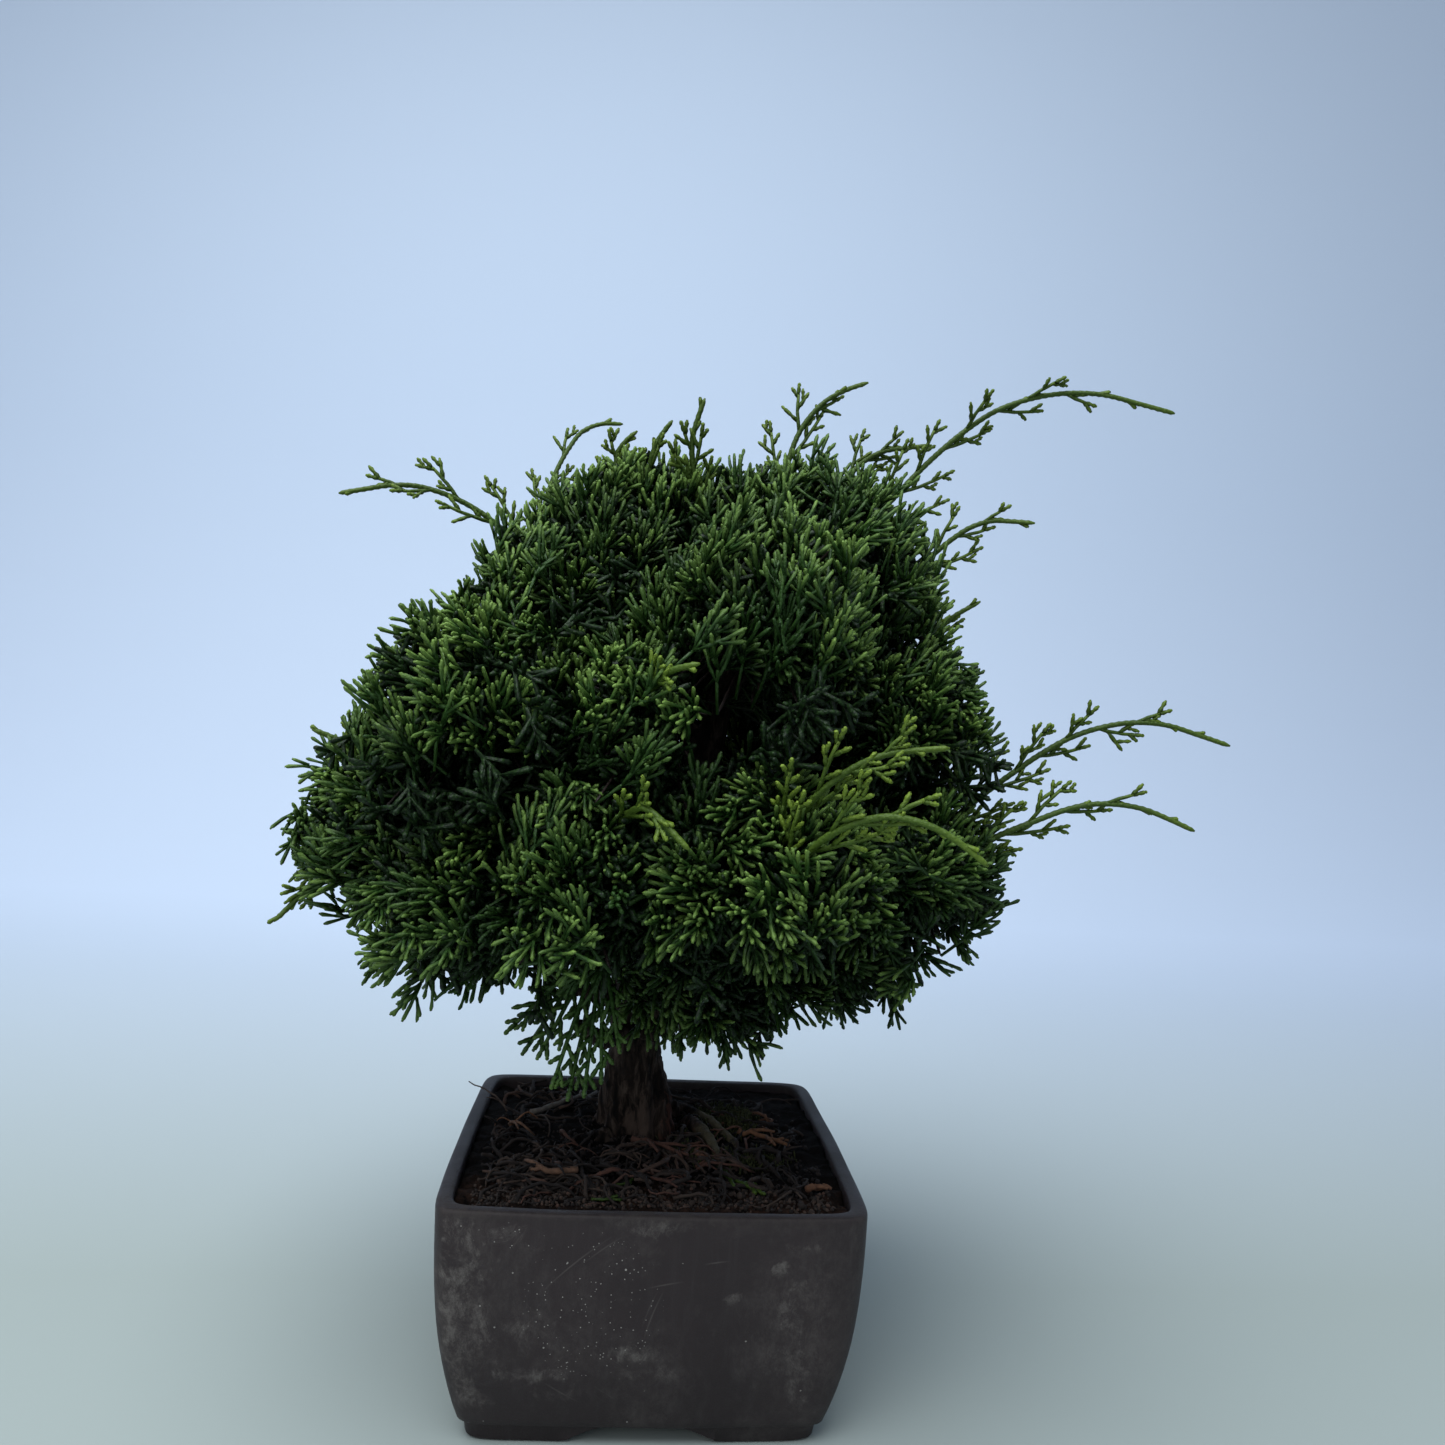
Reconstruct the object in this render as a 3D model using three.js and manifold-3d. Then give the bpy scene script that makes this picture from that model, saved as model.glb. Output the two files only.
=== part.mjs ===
// A juniper bonsai in a square, unglazed clay pot: the tree with its foliage pads and young shoots,
// the soil it grows in, the pot and its drainage mesh, and what lies on the soil.
// Millimetres, +Z up. Places are given from the middle of the pot at the ground; the group at the end
// is shifted so that the origin is the bottom centre of the whole part.

import * as THREE from "three";
import { mergeVertices } from "three/addons/utils/BufferGeometryUtils.js";
import Module from "manifold-3d";

const wasm = await Module();
wasm.setup();

// ---- Driving dimensions ----

const GAP = 0.3; // clearance between pieces that touch
const WOOD_GAP = 0.45; // clearance round wood, whose facets are coarse

const POT = {
  height: 68,
  rim: 61.6, // half-width at the rim
  ledge: 53.2, // half-width at the bottom of the body, just above the foot
  flare: 2.6, // how quickly the side straightens towards the rim
  wall: 5,
  floor: 11, // height of the floor inside
  edge: 1.1, // rounding of the rim
  bow: 0.02, // how far a side bulges, as a share of the half-width
  corner: 0.12, // size of a corner, as a share of the half-width
  levels: 7,
};
const FOOT = { height: 5.5, bottom: 51, top: 51.8, recess: 5, recessHalf: 39.5 };
const ARCH = { height: 4.7, footHalf: 24, topHalf: 12.5 };
const DRAIN_RADIUS = 7;
const MESH = { size: 24, thickness: 0.8, bar: 1.6, openings: 3 };
const SOIL = { edge: 63.2, mound: 3.6, spread: 30, centre: [-3, 10] };

// The trunk's centre line, from inside the soil to the crown, and its radius at each of those points.
const TRUNK_LINE = [
  [-2, 10, 46],
  [-3, 10, 62],
  [-4, 9, 71],
  [-6, 7, 83],
  [-8, 4, 97],
  [-7.5, 2, 110],
  [-5, 0, 128],
  [0, -1, 150],
  [7, 0, 175],
  [13, 2, 202],
  [17, 4, 228],
  [19, 5, 252],
];
const TRUNK_RADII = [8, 14, 9.2, 7.4, 6.8, 6.7, 6.3, 5.8, 5, 4.1, 3.1, 1.8];
const BRANCH = { base: 3, tip: 0.9, sag: 4 };

// Roots run from the trunk's base: those on top show, the others hold the tree in the soil.
const ROOTS = [
  { line: [[2, 12, 66], [11, 12, 66.6], [17, 4, 65.6], [20, -6, 64.6], [21, -18, 62.6]], base: 2.8 },
  { line: [[-8, 5, 66], [-15, -1, 65], [-20, -6, 61]], base: 3.6 },
  { line: [[2, 17, 66], [11, 23, 66.4], [19, 16, 65.4], [25, 5, 64.4], [29, -8, 62.2]], base: 2.6 },
  { line: [[-8, 15, 66], [-14, 21, 64.8], [-18, 26, 60]], base: 3 },
  { line: [[0, 8, 56], [14, 2, 44], [30, -4, 34]], base: 4 },
  { line: [[-4, 8, 56], [-14, -2, 42], [-27, -14, 31]], base: 4 },
  { line: [[-4, 12, 56], [-12, 24, 44], [-24, 36, 36]], base: 3.6 },
  { line: [[0, 12, 56], [10, 24, 42], [24, 34, 30]], base: 3.6 },
];

// Foliage pads: middle, half-sizes, and where on the trunk (0 bottom, 1 top) the branch leaves.
const PADS = [
  { name: "front_upper", at: [22, -52, 232], half: [28, 30, 31], from: 0.84 },
  { name: "front_left", at: [-59, -42, 204], half: [31, 36, 28], from: 0.66 },
  { name: "front_centre", at: [-9, -62, 203], half: [20, 26, 23], from: 0.7 },
  { name: "low_front_right", at: [21, -66, 160], half: [35, 33, 28], from: 0.5 },
  { name: "low_front_centre", at: [-22, -66, 157], half: [24, 26, 27], from: 0.46 },
  { name: "low_front_left", at: [-56, -50, 147], half: [28, 33, 24], from: 0.44 },
  { name: "hanging_spray", at: [-25, -60, 119], half: [13, 9, 15], from: 0.4 },
  { name: "low_right", at: [80, -12, 160], half: [24, 36, 26], from: 0.52 },
  { name: "mid_right", at: [74, -6, 211], half: [25, 33, 24], from: 0.74 },
  { name: "low_left", at: [-88, -16, 165], half: [22, 36, 27], from: 0.5 },
  { name: "top_right", at: [36, 2, 262], half: [37, 38, 28], from: 0.93 },
  { name: "top_left", at: [-11, 4, 262], half: [34, 36, 27], from: 0.9 },
  { name: "upper_right", at: [61, 6, 248], half: [20, 32, 27], from: 0.86 },
  { name: "upper_left", at: [-40, -4, 242], half: [27, 33, 23], from: 0.8 },
  { name: "under_right", at: [50, -12, 132], half: [32, 35, 18], from: 0.42 },
  { name: "under_front", at: [15, -38, 125], half: [22, 24, 15], from: 0.38 },
  { name: "back_left", at: [-58, 42, 194], half: [36, 38, 34], from: 0.64 },
  { name: "back_right", at: [52, 48, 192], half: [38, 38, 36], from: 0.68 },
  { name: "back_centre", at: [-2, 62, 226], half: [36, 32, 33], from: 0.76 },
  { name: "back_low", at: [-6, 58, 152], half: [40, 34, 25], from: 0.48 },
  { name: "back_low_left", at: [-62, 30, 145], half: [30, 32, 23], from: 0.46 },
  { name: "back_low_right", at: [56, 38, 145], half: [33, 32, 23], from: 0.44 },
];
// The pads' ellipsoids blend into one crown, which is shared out between them with a gap.
const PAD = { underside: 0.85, blend: 7, lump: 1.6, lumpTurn: 0.2, gap: 1.3, edge: 8, tolerance: 0.7, margin: 8 };
const LOOSE_PAD = "hanging_spray";

// Young shoots that stand out of the pads: the line of each one's stem.
const SHOOTS = [
  { name: "upper_left", line: [[-41, 3, 250], [-54, 4, 259], [-71, 0, 270], [-89, -5, 274], [-110, -9, 269]] },
  { name: "back_left", line: [[-50, 28, 247], [-50, 38, 279], [-44, 44, 300], [-36, 49, 312], [-24, 53, 315]] },
  { name: "top_far_left", line: [[-22, 3, 272], [-24, 0, 291], [-18, -2, 298]] },
  { name: "top_left", line: [[-14, -8, 276], [-12, -12, 291], [-7, -14, 299]] },
  { name: "top_middle", line: [[3, -20, 270], [-1, -27, 289], [2, -30, 302]] },
  { name: "top_tall", line: [[30, 5, 274], [36, 5, 303], [46, 4, 316], [58, 0, 321]] },
  { name: "top_right", line: [[46, 14, 276], [63, 15, 300], [84, 12, 305]] },
  { name: "upper_right_long", line: [[60, 9, 272], [85, 5, 301], [104, 0, 316], [130, -5, 322], [160, -10, 316]] },
  { name: "right_upper", line: [[72, 10, 250], [88, 5, 269], [100, 0, 277], [116, -5, 277]] },
  { name: "right_middle", line: [[80, 10, 228], [92, 8, 244], [102, 5, 251]] },
  { name: "right_long_upper", line: [[88, -8, 173], [108, -14, 192], [129, -19, 207], [150, -24, 212], [175, -28, 206]] },
  { name: "right_long_lower", line: [[86, -18, 164], [112, -25, 178], [129, -29, 185], [144, -33, 185], [160, -37, 179]] },
  { name: "front_arch_upper", line: [[26, -78, 172], [34, -92, 188], [46, -99, 197], [62, -104, 200]] },
  { name: "front_arch_lower", line: [[26, -84, 164], [36, -99, 178], [48, -107, 183], [60, -111, 180], [70, -113, 173]] },
  { name: "front_centre", line: [[-10, -78, 210], [-6, -90, 215], [1, -97, 217]] },
  { name: "front_low", line: [[-16, -78, 176], [-10, -92, 181], [1, -99, 172]] },
  { name: "left_middle", line: [[-84, -24, 182], [-97, -30, 191], [-107, -33, 195]] },
  { name: "left_low", line: [[-98, -16, 154], [-109, -20, 146], [-117, -24, 137]] },
];
const SHOOT = { base: 1, tip: 0.5, stepsPerPoint: 2 };

// Litter on the soil, by its course over the ground, and the hair-thin twig that leans on the rim.
const LITTER = [
  { name: "fallen_twig_left", line: [[-19, 39.5], [-29, 28.5], [-40.5, 16.5]], radius: 0.9 },
  { name: "fallen_twig_right", line: [[29, 5], [37, 1], [45, -6]], radius: 0.9 },
  { name: "fallen_twig_front", line: [[-7, -9], [3, -13], [11, -19]], radius: 0.8 },
  { name: "fallen_twig_corner", line: [[-37, -29], [-30, -32], [-22.5, -30.5]], radius: 0.8 },
  { name: "dry_sprig", line: [[20.5, -27], [22.5, -34.5], [30, -38]], radius: 1 },
  { name: "bark_flake", line: [[45, -37], [49, -37.5], [52, -35]], radius: 1.1 },
];
const RIM_TWIG = { name: "rim_twig", line: [[-49, 26, 65.4], [-55, 34, 68.9], [-65, 44, 69.6]], radius: 0.5 };
const MOSS = { at: [30, 21, 61.6], half: [7, 10, 4.2] };

const MATERIAL = {
  clay: new THREE.MeshStandardMaterial({ color: "#352f2f", roughness: 0.75 }),
  netting: new THREE.MeshStandardMaterial({ color: "#16181a", roughness: 0.6 }),
  soil: new THREE.MeshStandardMaterial({ color: "#1b1311", roughness: 1 }),
  bark: new THREE.MeshStandardMaterial({ color: "#2a2320", roughness: 0.95 }),
  foliage: new THREE.MeshStandardMaterial({ color: "#24491f", roughness: 0.6 }),
  shoot: new THREE.MeshStandardMaterial({ color: "#5d8a35", roughness: 0.55 }),
  deadwood: new THREE.MeshStandardMaterial({ color: "#5a4030", roughness: 0.9 }),
  moss: new THREE.MeshStandardMaterial({ color: "#3c5a22", roughness: 0.95 }),
};

// ---- Solids ----

function manifoldOf(vertProperties, triVerts) {
  return new wasm.Manifold(new wasm.Mesh({ numProp: 3, vertProperties, triVerts }));
}

// A three.js geometry as a solid whose faces point out.
function solid(geometry) {
  const loose = geometry.index ? geometry.toNonIndexed() : geometry;
  const bare = new THREE.BufferGeometry().setAttribute("position", loose.getAttribute("position"));
  const merged = mergeVertices(bare, 1e-3);
  const points = merged.getAttribute("position").array;
  const triangles = new Uint32Array(merged.index.array);
  const made = manifoldOf(points, triangles);
  return made.volume() > 0 ? made : manifoldOf(points, triangles.reverse());
}

function movePoints(geometry, move) {
  const position = geometry.getAttribute("position");
  const point = new THREE.Vector3();
  for (let i = 0; i < position.count; i++) {
    move(point.fromBufferAttribute(position, i));
    position.setXYZ(i, point.x, point.y, point.z);
  }
  return geometry;
}

function union(solids) {
  return solids.reduce((whole, next) => whole.add(next));
}

function largest(body) {
  return body.decompose().reduce((most, next) => (next.volume() > most.volume() ? next : most));
}

const tree = new THREE.Group();

function addPiece(name, body, material) {
  const mesh = body.getMesh();
  const geometry = new THREE.BufferGeometry();
  geometry.setAttribute("position", new THREE.BufferAttribute(mesh.vertProperties, 3));
  geometry.setIndex(new THREE.BufferAttribute(mesh.triVerts, 1));
  const piece = new THREE.Mesh(geometry, material);
  piece.name = name;
  tree.add(piece);
}

// A tapering tube on a smooth curve through the points; radiusAt runs from 0 at its start to 1 at its end.
function tube(points, radiusAt, { sides = 6, steps = 6, extend = 0 } = {}) {
  const line = points.map((p) => new THREE.Vector3(...p));
  const last = line.length - 1;
  line[0].addScaledVector(line[0].clone().sub(line[1]).normalize(), extend);
  line[last].addScaledVector(line[last].clone().sub(line[last - 1]).normalize(), extend);
  const curve = new THREE.CatmullRomCurve3(line);
  const thin = 0.1; // a thin tube first, so that each point is nearest its own ring's middle
  const outline = new THREE.Shape();
  for (let i = 0; i < sides; i++) {
    const turn = (2 * Math.PI * i) / sides;
    if (i === 0) outline.moveTo(thin, 0);
    else outline.lineTo(thin * Math.cos(turn), thin * Math.sin(turn));
  }
  const geometry = new THREE.ExtrudeGeometry(outline, { steps, extrudePath: curve, bevelEnabled: false });
  const middles = curve.getSpacedPoints(steps);
  movePoints(geometry, (point) => {
    const distances = middles.map((m) => m.distanceTo(point));
    const ring = distances.indexOf(Math.min(...distances));
    point.sub(middles[ring]).multiplyScalar(radiusAt(ring / steps) / thin).add(middles[ring]);
  });
  return solid(geometry);
}

function taper(base, tip, grow = 0) {
  return (t) => base + (tip - base) * t + grow;
}

// ---- Pot ----

// The pot's outline at a half-width of 1: four bowed sides and four rounded corners.
function potOutline() {
  const side = 1 - POT.bow;
  const cornerStart = side - POT.corner;
  const shape = new THREE.Shape();
  shape.moveTo(side, -cornerStart);
  for (let quarter = 0; quarter < 4; quarter++) {
    const turned = (x, y) => {
      const p = new THREE.Vector2(x, y).rotateAround(new THREE.Vector2(), (quarter * Math.PI) / 2);
      return [p.x, p.y];
    };
    shape.quadraticCurveTo(...turned(1 + POT.bow, 0), ...turned(side, cornerStart));
    shape.quadraticCurveTo(...turned(side, side), ...turned(cornerStart, side));
  }
  return shape;
}

// A solid with the pot's outline, whose half-width at each height is given by [height, half-width] pairs.
function loft(profile) {
  const steps = profile.length - 1;
  const geometry = new THREE.ExtrudeGeometry(potOutline(), { depth: steps, steps, bevelEnabled: false, curveSegments: 4 });
  return solid(
    movePoints(geometry, (point) => {
      const [height, halfWidth] = profile[Math.round(point.z)];
      point.set(point.x * halfWidth, point.y * halfWidth, height);
    }),
  );
}

// Half-width of the pot's outside at a height above the foot.
function potSide(height) {
  const up = (height - FOOT.height) / (POT.height - FOOT.height);
  return POT.rim - (POT.rim - POT.ledge) * (1 - up) ** POT.flare;
}

function potProfile() {
  const rise = POT.height - POT.edge - FOOT.height;
  const body = [];
  for (let i = 0; i <= POT.levels; i++) {
    const height = FOOT.height + rise * (i / POT.levels) ** 1.4;
    body.push([height, potSide(height)]);
  }
  body[0][0] += 0.2;
  const [, rim] = body[POT.levels];
  return [
    [0, FOOT.bottom],
    [FOOT.height, FOOT.top],
    ...body,
    [POT.height - 0.3 * POT.edge, rim - 0.3 * POT.edge],
    [POT.height, rim - POT.edge],
  ];
}

// The space inside the pot, or the same space drawn in by a clearance.
function hollowProfile(clearance = 0) {
  const top = POT.height - POT.edge;
  const heights = [POT.floor + clearance, 20, 32, 46, top];
  const wall = heights.map((height) => [height, potSide(height) - POT.wall - clearance]);
  const lip = potSide(top) - POT.wall;
  return { wall, lip: [[POT.height - 0.3 * POT.edge, lip + 0.3 * POT.edge], [POT.height + 1, lip + POT.edge + 1]] };
}

function archCut(turn) {
  const shape = new THREE.Shape();
  shape.moveTo(-ARCH.footHalf - 1, -1);
  shape.lineTo(ARCH.footHalf + 1, -1);
  shape.lineTo(ARCH.footHalf, 0);
  shape.quadraticCurveTo(ARCH.footHalf - 5, ARCH.height - 1, ARCH.topHalf, ARCH.height);
  shape.lineTo(-ARCH.topHalf, ARCH.height);
  shape.quadraticCurveTo(-ARCH.footHalf + 5, ARCH.height - 1, -ARCH.footHalf, 0);
  const length = 3 * POT.rim;
  const geometry = new THREE.ExtrudeGeometry(shape, { depth: length, bevelEnabled: false, curveSegments: 4 });
  geometry.translate(0, 0, -length / 2).rotateX(Math.PI / 2).rotateZ(turn);
  return solid(geometry);
}

function addPot() {
  const hollow = hollowProfile();
  const drain = new THREE.CylinderGeometry(DRAIN_RADIUS, DRAIN_RADIUS, 2 * POT.floor, 24).rotateX(Math.PI / 2);
  const recess = [[-1, FOOT.recessHalf], [FOOT.recess, FOOT.recessHalf - 1]];
  const pot = loft(potProfile())
    .subtract(loft([...hollow.wall, ...hollow.lip]))
    .subtract(loft(recess))
    .subtract(archCut(0))
    .subtract(archCut(Math.PI / 2))
    .subtract(solid(drain.translate(0, 0, POT.floor)));
  addPiece("pot", pot, MATERIAL.clay);
}

// A square net of crossed bars over the drain hole.
function addDrainageMesh() {
  const height = POT.floor + GAP + MESH.thickness / 2;
  const bars = [];
  for (let i = 0; i <= MESH.openings; i++) {
    const across = (i / MESH.openings - 0.5) * (MESH.size - MESH.bar);
    const bar = new THREE.BoxGeometry(MESH.bar, MESH.size, MESH.thickness).translate(0, 0, height);
    bars.push(solid(bar.clone().translate(across, 0, 0)));
    bars.push(solid(bar.rotateZ(Math.PI / 2).translate(0, across, 0)));
  }
  addPiece("drainage_mesh", union(bars), MATERIAL.netting);
}

// ---- Soil ----

function soilTop(x, y) {
  const away = Math.hypot(x - SOIL.centre[0], y - SOIL.centre[1]);
  return SOIL.edge + SOIL.mound * Math.exp(-((away / SOIL.spread) ** 2));
}

// Everything under the soil's surface, with that surface raised by the given height.
function underSoil(raise = 0) {
  const profile = [new THREE.Vector2(0, 0)];
  for (const away of [110, 60, 44, 30, 18, 0]) {
    profile.push(new THREE.Vector2(away, soilTop(SOIL.centre[0] + away, SOIL.centre[1]) + raise));
  }
  profile.splice(1, 0, new THREE.Vector2(110, 0));
  const geometry = new THREE.LatheGeometry(profile, 20).rotateX(Math.PI / 2);
  return solid(geometry.translate(SOIL.centre[0], SOIL.centre[1], 0));
}

// ---- Tree ----

const trunkCurve = new THREE.CatmullRomCurve3(TRUNK_LINE.map((p) => new THREE.Vector3(...p)));

function trunkRadius(t) {
  const place = t * (TRUNK_RADII.length - 1);
  const below = Math.min(Math.floor(place), TRUNK_RADII.length - 2);
  return THREE.MathUtils.lerp(TRUNK_RADII[below], TRUNK_RADII[below + 1], place - below);
}

function branchLine({ at, from }) {
  const start = trunkCurve.getPoint(from);
  const end = new THREE.Vector3(...at);
  const middle = start.clone().lerp(end, 0.5);
  middle.z -= BRANCH.sag;
  return [start.toArray(), middle.toArray(), end.toArray()];
}

// The wood of the tree, or the same wood grown by a clearance.
function wood(grow = 0) {
  const extend = 2 * grow;
  const trunkTube = tube(TRUNK_LINE, (t) => trunkRadius(t) + grow, { sides: 10, steps: 14, extend });
  const branches = PADS.map((pad) => tube(branchLine(pad), taper(BRANCH.base, BRANCH.tip, grow), { sides: 5, steps: 4, extend }));
  const roots = ROOTS.map(({ line, base }) => tube(line, taper(base, 1, grow), { steps: 4, extend }));
  return union([trunkTube, ...branches, ...roots]);
}

function shootTube({ line }, grow = 0) {
  const steps = SHOOT.stepsPerPoint * line.length;
  return tube(line, taper(SHOOT.base, SHOOT.tip, grow), { sides: 5, steps, extend: 2 * grow });
}

// How far a point is outside a pad's ellipsoid, about, which is flatter under its middle.
function padDistance({ at, half }, [x, y, z]) {
  const down = z < at[2] ? PAD.underside : 1;
  const across = [(x - at[0]) / half[0], (y - at[1]) / half[1], (z - at[2]) / (half[2] * down)];
  const reach = Math.hypot(...across);
  const slope = Math.hypot(across[0] / half[0], across[1] / half[1], across[2] / (half[2] * down));
  return slope < 1e-6 ? -Math.min(...half) : (reach * (reach - 1)) / slope;
}

// How far a point is outside the crown: the pads blended together, with soft lumps.
function crownDistance(distances, [x, y, z]) {
  const near = distances.reduce((sum, distance) => sum + Math.exp(-distance / PAD.blend), 0);
  const lump = Math.sin(PAD.lumpTurn * x) * Math.sin(PAD.lumpTurn * y + 1) * Math.sin(PAD.lumpTurn * z);
  return -PAD.blend * Math.log(near) + PAD.lump * lump;
}

// The share of the crown that is nearer this pad than any other one, less half the gap.
function padSolid(pad) {
  const loose = PADS.find((other) => other.name === LOOSE_PAD);
  const others = PADS.filter((other) => other !== pad && other !== loose);
  const inside = (point) => {
    const own = padDistance(pad, point);
    if (pad === loose) return -own;
    const distances = others.map((other) => padDistance(other, point));
    const share = own - Math.min(...distances) + PAD.gap;
    const clear = PAD.gap - padDistance(loose, point);
    return -Math.max(crownDistance([own, ...distances], point), share, clear);
  };
  const low = pad.at.map((value, axis) => value - pad.half[axis] - PAD.margin);
  const high = pad.at.map((value, axis) => value + pad.half[axis] + PAD.margin);
  return wasm.Manifold.levelSet(inside, { min: low, max: high }, PAD.edge).simplify(PAD.tolerance);
}

function addTree() {
  const trunk = wood();
  const shootClearance = union(SHOOTS.map((shoot) => shootTube(shoot, WOOD_GAP)));
  const woodClearance = wood(WOOD_GAP);
  addPiece("trunk", trunk, MATERIAL.bark);
  for (const shoot of SHOOTS) {
    addPiece("shoot_" + shoot.name, largest(shootTube(shoot).subtract(woodClearance)), MATERIAL.shoot);
  }
  const taken = woodClearance.add(shootClearance);
  for (const pad of PADS) {
    addPiece("foliage_" + pad.name, largest(padSolid(pad).subtract(taken)), MATERIAL.foliage);
  }
  return woodClearance;
}

function addSoil(woodClearance) {
  const { wall } = hollowProfile(GAP);
  const half = MESH.size / 2 + GAP;
  const meshRoom = new THREE.BoxGeometry(2 * half, 2 * half, 2 * (MESH.thickness + 2 * GAP));
  const soil = loft(wall)
    .intersect(underSoil())
    .subtract(solid(meshRoom.translate(0, 0, POT.floor)))
    .subtract(woodClearance);
  addPiece("soil", largest(soil), MATERIAL.soil);
}

function addLitter(woodClearance) {
  for (const { name, line, radius } of LITTER) {
    const lying = line.map(([x, y]) => [x, y, soilTop(x, y) + radius + GAP]);
    const twig = tube(lying, taper(radius, 0.6 * radius), { sides: 5, steps: 4 });
    addPiece(name, largest(twig.subtract(underSoil(GAP)).subtract(woodClearance)), MATERIAL.deadwood);
  }
  const { name, line, radius } = RIM_TWIG;
  addPiece(name, tube(line, taper(radius, radius), { sides: 5, steps: 4 }), MATERIAL.deadwood);
  const moss = new THREE.SphereGeometry(1, 12, 8).scale(...MOSS.half).translate(...MOSS.at);
  addPiece("moss_patch", largest(solid(moss).subtract(underSoil(GAP)).subtract(woodClearance)), MATERIAL.moss);
}

addPot();
addDrainageMesh();
const woodClearance = addTree();
addSoil(woodClearance);
addLitter(woodClearance);

// Origin at the bottom centre of the part.
const box = new THREE.Box3().setFromObject(tree);
const middle = box.getCenter(new THREE.Vector3());
tree.position.set(-middle.x, -middle.y, -box.min.z);

const bonsai = new THREE.Group();
bonsai.add(tree);

export default bonsai;
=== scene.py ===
"""A juniper bonsai in a square clay pot: the finish of every piece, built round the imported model."""

import math
import random

import bmesh
import bpy
import numpy as np
from mathutils import Matrix, Vector, noise
from mathutils.bvhtree import BVHTree


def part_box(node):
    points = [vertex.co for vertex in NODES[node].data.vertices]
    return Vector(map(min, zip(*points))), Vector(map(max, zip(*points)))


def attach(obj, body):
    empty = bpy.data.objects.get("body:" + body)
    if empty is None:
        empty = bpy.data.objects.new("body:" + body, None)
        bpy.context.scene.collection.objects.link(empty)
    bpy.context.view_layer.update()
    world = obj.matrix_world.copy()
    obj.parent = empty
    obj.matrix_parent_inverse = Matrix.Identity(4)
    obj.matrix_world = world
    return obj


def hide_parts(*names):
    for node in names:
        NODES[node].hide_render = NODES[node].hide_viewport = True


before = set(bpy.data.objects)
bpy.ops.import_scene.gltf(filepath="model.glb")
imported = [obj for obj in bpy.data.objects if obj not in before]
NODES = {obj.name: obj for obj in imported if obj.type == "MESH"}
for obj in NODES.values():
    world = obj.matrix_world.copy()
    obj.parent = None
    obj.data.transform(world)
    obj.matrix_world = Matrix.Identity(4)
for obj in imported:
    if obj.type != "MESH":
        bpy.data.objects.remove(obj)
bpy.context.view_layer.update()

MM = 0.001
UP = Vector((0, 0, 1))
POT_LOW, POT_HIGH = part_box("pot")
POT_MIDDLE = Vector(((POT_LOW.x + POT_HIGH.x) / 2, (POT_LOW.y + POT_HIGH.y) / 2, 0))
POT_HALF = (POT_HIGH.x - POT_LOW.x) / 2
RIM_HEIGHT = POT_HIGH.z

# Camera: from the middle of the pot on the ground, in degrees and millimetres.
CAMERA_PLACE = Vector((-15.3, -366.0, 199.4)) * MM
CAMERA_YAW, CAMERA_PITCH, CAMERA_ROLL = 4.82, 0.78, 3.30
CAMERA_LENS = 27.7


# ---- Materials ----


def put(tree, kind, inputs=None, **settings):
    """A shader node with its settings; an input that is a socket is linked."""
    node = tree.nodes.new("ShaderNode" + kind)
    for name, value in settings.items():
        setattr(node, name, value)
    for name, value in (inputs or {}).items():
        if isinstance(value, bpy.types.NodeSocket):
            tree.links.new(value, node.inputs[name])
        else:
            node.inputs[name].default_value = value
    return node


def ramp(tree, factor, stops):
    """A colour ramp through (position, colour) stops; a number stands for a grey."""
    node = put(tree, "ValToRGB", {"Fac": factor})
    elements = node.color_ramp.elements
    while len(elements) < len(stops):
        elements.new(0.5)
    for element, (position, colour) in zip(elements, stops):
        element.position = position
        grey = isinstance(colour, (int, float))
        element.color = (colour, colour, colour, 1) if grey else (*colour, 1)
    return node.outputs["Color"]


def mix(tree, factor, first, second):
    """The second colour over the first, by a factor; a colour is a socket or a triple."""
    node = put(tree, "Mix", data_type="RGBA")
    for index, value in ((0, factor), (6, first), (7, second)):
        if isinstance(value, bpy.types.NodeSocket):
            tree.links.new(value, node.inputs[index])
        elif index:
            node.inputs[index].default_value = (*value, 1)
        else:
            node.inputs[index].default_value = value
    return node.outputs[2]


def math_node(tree, operation, first, second=0.0, clamp=False):
    return put(tree, "Math", {0: first, 1: second}, operation=operation, use_clamp=clamp).outputs[0]


def times(tree, first, second):
    return math_node(tree, "MULTIPLY", first, second)


def fade(tree, value, start, end):
    """0 before the start of a range of values and 1 past its end."""
    return put(tree, "MapRange", {0: value, 1: start, 2: end}).outputs[0]


def axis_of(tree, place, axis):
    return put(tree, "SeparateXYZ", {0: place}).outputs[axis]


def new_material(name, roughness, specular=0.5):
    material = bpy.data.materials.new(name)
    material.use_nodes = True
    tree = material.node_tree
    shader = tree.nodes["Principled BSDF"]
    shader.inputs["Roughness"].default_value = roughness
    shader.inputs["Specular IOR Level"].default_value = specular
    return material, tree, shader


def dress(tree, shader, colour, height, distance, strength=1.0):
    """Links a surface's colour, and its relief as bump."""
    tree.links.new(colour, shader.inputs["Base Color"])
    node = put(tree, "Bump", {"Height": height, "Distance": distance, "Strength": strength})
    tree.links.new(node.outputs["Normal"], shader.inputs["Normal"])


def new_group(name, inputs, outputs):
    """A shader node group with sockets of the given kinds: its tree, what it is given and its results."""
    tree = bpy.data.node_groups.new(name, "ShaderNodeTree")
    for direction, sockets in (("INPUT", inputs), ("OUTPUT", outputs)):
        for socket, kind in sockets.items():
            tree.interface.new_socket(socket, in_out=direction, socket_type="NodeSocket" + kind)
    given = tree.nodes.new("NodeGroupInput").outputs
    results = tree.nodes.new("NodeGroupOutput").inputs
    return tree, given, results


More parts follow.
